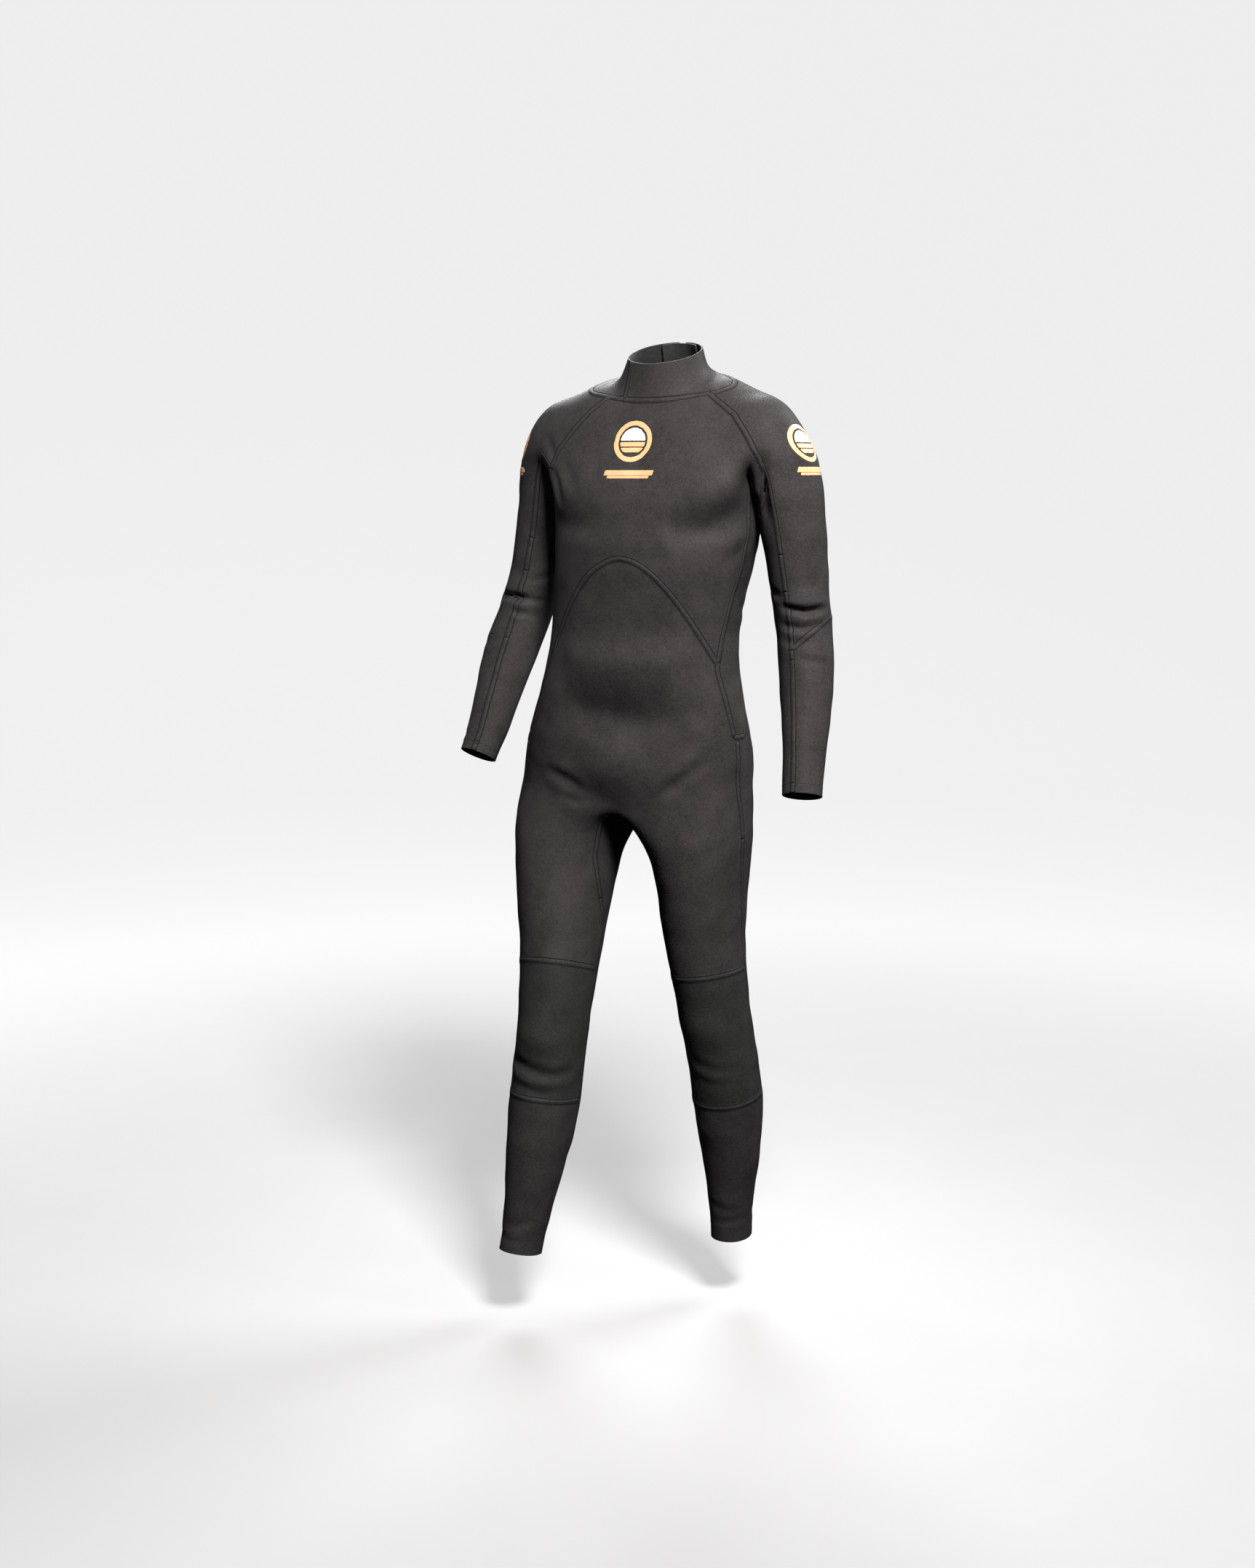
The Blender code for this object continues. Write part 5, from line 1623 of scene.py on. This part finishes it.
def lofted(z, shift, levels):
    """Points and faces of a block on the zip: rings of (side, along) points at several heights."""
    across, along, out = frame_at(z)
    base = on_zip(z) + along * shift
    points, faces = [], []
    n = len(levels[0][0])
    for ring, height in levels:
        points += [base + across * s + along * t + out * height for s, t in ring]
    for i in range(len(levels) - 1):
        for j in range(n):
            k = (j + 1) % n
            faces.append([i * n + j, i * n + k, (i + 1) * n + k, (i + 1) * n + j])
    faces.append(list(reversed(range(n))))
    faces.append([(len(levels) - 1) * n + j for j in range(n)])
    return points, faces


def gathered(name, blocks, material, body):
    points, faces = [], []
    for p, f in blocks:
        first = len(points)
        points += list(p)
        faces += [[v + first for v in face] for face in f]
    made = outward(new_object(name, points, faces, [material]))
    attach(made, body)
    return made


PITCH = 0.0030
SLIDER_Z = ZIP_TOP - 0.010
teeth = []
count = int((ZIP_TOP - ZIP_BOTTOM) / PITCH)
for i in range(count):
    for way in (-1, 1):
        z = ZIP_BOTTOM + (i + (0.25 if way > 0 else 0.75)) * PITCH
        if z > ZIP_TOP:
            continue
        head = [(way * -0.0008, -0.00075), (way * 0.0006, -0.00095), (way * 0.0024, -0.00058),
                (way * 0.0024, 0.00058), (way * 0.0006, 0.00095), (way * -0.0008, 0.00075)]
        small = [(s * 0.86 + way * 0.0001, t * 0.80) for s, t in head]
        levels = [(small, -0.0029), (head, -0.0025), (head, -0.0011), (small, -0.0007)]
        teeth.append(lofted(z, 0, levels))
chain = gathered("zip_chain", teeth, TEETH, "torso")
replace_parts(chain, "zip_chain")

for name, z in (("zip_bottom_stop", ZIP_BOTTOM - 0.0030), ("zip_top_stop", ZIP_TOP + 0.0030)):
    big, small = box_ring(0.0042, 0.0024, 0.0009), box_ring(0.0037, 0.0019, 0.0008)
    block = lofted(z, 0, [(small, -0.0029), (big, -0.0024), (big, 0.0003), (small, 0.0008)])
    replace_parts(gathered(name, [block], METAL, "torso"), name)


def slider_ring(scale):
    """The slider's plan: narrow where the chain is closed, with two shoulders where it opens."""
    half = [(0.0034, -0.0075), (0.0044, -0.0062), (0.0047, -0.0010), (0.0050, 0.0030), (0.0050, 0.0058),
            (0.0038, 0.0077), (0.0014, 0.0066)]
    ring = half + [(-s, t) for s, t in reversed(half)]
    return [(s * scale, t * scale) for s, t in ring]


SLIDER_LEVELS = ((0.90, 0.0001), (1.0, 0.0006), (1.0, 0.0026), (0.92, 0.0032), (0.70, 0.0035))
blocks = [lofted(SLIDER_Z, 0, [(slider_ring(scale), height) for scale, height in SLIDER_LEVELS])]
across, along, out = frame_at(SLIDER_Z)
width = 0.0014
profile = [(-0.0049, 0.0028), (-0.0049, 0.0060), (-0.0036, 0.0071), (0.0036, 0.0071), (0.0049, 0.0060),
           (0.0049, 0.0028), (0.0037, 0.0028), (0.0036, 0.0058), (-0.0036, 0.0058), (-0.0037, 0.0028)]
base = on_zip(SLIDER_Z)
points = [base + across * s + along * t + out * r for s in (-width, width) for t, r in profile]
n = len(profile)
faces = [list(range(n)), list(reversed(range(n, 2 * n)))]
faces += [[(j + 1) % n, j, j + n, (j + 1) % n + n] for j in range(n)]
blocks.append((points, faces))
slider = gathered("zip_slider", blocks, METAL, "zip_slider")
bevel = slider.modifiers.new("Bevel", "BEVEL")
bevel.width, bevel.segments = 0.0003, 2
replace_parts(slider, "zip_slider")


def puller():
    """A flat pull tag with rounded ends, an eye at the slider and a hole for a leash."""
    hinge, lift, thick = -0.0024, 0.0046, 0.0012
    top, bottom, half = hinge + 0.0007, hinge - 0.0300, 0.0036
    outline = []
    for centre, start in ((top - 0.0022, 0), (bottom + half, 180)):
        r = 0.0022 if start == 0 else half
        for a in np.linspace(start, start + 180, 9):
            w = math.cos(math.radians(a)) * r
            t = centre + math.sin(math.radians(a)) * r
            outline.append((w, t))
    turns = np.linspace(0, 2 * math.pi, 13)[:-1]
    eye = [(0.0014 * math.cos(a), hinge - 0.0028 + 0.0020 * math.sin(a)) for a in turns]
    hole = [(0.0019 * math.cos(a), bottom + half + 0.0019 * math.sin(a)) for a in turns]
    bm = bmesh.new()
    loops = []
    for ring in (outline, eye, hole):
        verts = [bm.verts.new(base + across * s + along * t + out * (lift - 0.0006)) for s, t in ring]
        loops += [bm.edges.new((a, b)) for a, b in zip(verts, verts[1:] + verts[:1])]
    bmesh.ops.triangle_fill(bm, use_beauty=True, edges=loops, normal=Vector(out))
    raised = bmesh.ops.extrude_face_region(bm, geom=list(bm.faces))["geom"]
    raised = [v for v in raised if isinstance(v, bmesh.types.BMVert)]
    bmesh.ops.translate(bm, vec=Vector(out * thick), verts=raised)
    points = [np.array(v.co) for v in bm.verts]
    bm.verts.index_update()
    faces = [[v.index for v in f.verts] for f in bm.faces]
    bm.free()
    blocks = [(points, faces)]
    for k in range(5):
        t = hinge - 0.0100 - k * 0.0026
        ring = box_ring(0.0026, 0.0006, 0.0003)
        crest = [(s * 0.94, u * 0.6) for s, u in ring]
        blocks.append(lofted(SLIDER_Z, t, [(ring, lift + 0.0004), (crest, lift + 0.00095)]))
    made = gathered("zip_puller", blocks, METAL, "zip_puller")
    edge = made.modifiers.new("Bevel", "BEVEL")
    edge.width, edge.segments, edge.limit_method = 0.00022, 2, "ANGLE"
    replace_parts(made, "zip_puller")


puller()

# ---------------------------------------------------------------- the collar's closing
around_neck = lambda c, m: (c[:, 1] > 0.03) & (c[:, 2] > 1.47)


def rounded(low, high, bottom, top, radius):
    """A rectangle on the collar with rounded corners, in side and height above the collar's seam."""
    def field(p):
        s, h = zip_side(p), collar_base(p)
        dx = np.maximum(np.maximum(low + radius - s, s - high + radius), 0)
        dz = np.maximum(np.maximum(bottom + radius - h, h - top + radius), 0)
        return radius - np.hypot(dx, dz)
    return field


hooks = patch("collar_hook_patch", [rounded(-0.040, -0.010, 0.008, 0.030, 0.004)], HOOK_DEPTHS,
              HOOK, around_neck)
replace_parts(hooks, "collar_hook_patch")
tab = patch("collar_tab", [rounded(-0.038, 0.026, 0.006, 0.032, 0.007)], TAB_DEPTHS, SMOOTH,
            around_neck, "collar_tab")
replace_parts(tab, "collar_tab")

# ---------------------------------------------------------------- each panel's cut size
# Measured on the worn suit, panel by panel, and made 6% smaller each way for the stretch of wearing it.
CUT = {  # panel: width, length and area before wearing, in metres; of a pair the left one first
    "collar": ((0.404, 0.089, 0.0243),),
    "chest_panel": ((0.440, 0.518, 0.1075),),
    "abdomen_panel": ((0.340, 0.360, 0.0872),),
    "side_panel": ((0.138, 0.382, 0.0293), (0.084, 0.331, 0.0209)),
    "back_panel": ((0.219, 0.408, 0.0616), (0.208, 0.429, 0.0587)),
    "seat_panel": ((0.246, 0.351, 0.0745),),
    "crotch_gusset": ((0.144, 0.040, 0.0050),),
    "shoulder_panel": ((0.305, 0.303, 0.0616), (0.390, 0.281, 0.0738)),
    "upper_sleeve_outer": ((0.188, 0.098, 0.0132), (0.182, 0.109, 0.0137)),
    "upper_sleeve_inner": ((0.040, 0.098, 0.0030), (0.054, 0.099, 0.0043)),
    "elbow_panel_outer": ((0.193, 0.125, 0.0198), (0.194, 0.140, 0.0205)),
    "elbow_panel_inner": ((0.111, 0.117, 0.0108), (0.107, 0.121, 0.0114)),
    "forearm_outer": ((0.164, 0.192, 0.0263), (0.172, 0.176, 0.0239)),
    "forearm_inner": ((0.107, 0.190, 0.0143), (0.097, 0.170, 0.0131)),
    "wrist_hem": ((0.185, 0.0132, 0.0024), (0.185, 0.0132, 0.0024)),
    "hip_front": ((0.180, 0.265, 0.0281), (0.156, 0.257, 0.0263)),
    "hip_back": ((0.322, 0.263, 0.0494), (0.399, 0.246, 0.0534)),
    "thigh_front": ((0.250, 0.215, 0.0360), (0.252, 0.214, 0.0334)),
    "thigh_back": ((0.259, 0.215, 0.0354), (0.259, 0.233, 0.0428)),
    "knee_pad": ((0.232, 0.213, 0.0417), (0.238, 0.219, 0.0420)),
    "knee_back": ((0.180, 0.202, 0.0299), (0.191, 0.198, 0.0295)),
    "shin_panel": ((0.204, 0.215, 0.0350), (0.207, 0.219, 0.0367)),
    "calf_panel": ((0.175, 0.218, 0.0247), (0.151, 0.225, 0.0264)),
    "ankle_hem": ((0.212, 0.0228, 0.0048), (0.212, 0.0228, 0.0048)),
}
for panel, sizes in CUT.items():
    for tail, (width, length, area) in zip(("_left", "_right") if len(sizes) > 1 else ("",), sizes):
        name = panel + tail
        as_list(sewn_on[name])
for tape, edge in zip(tapes, tape_edges):
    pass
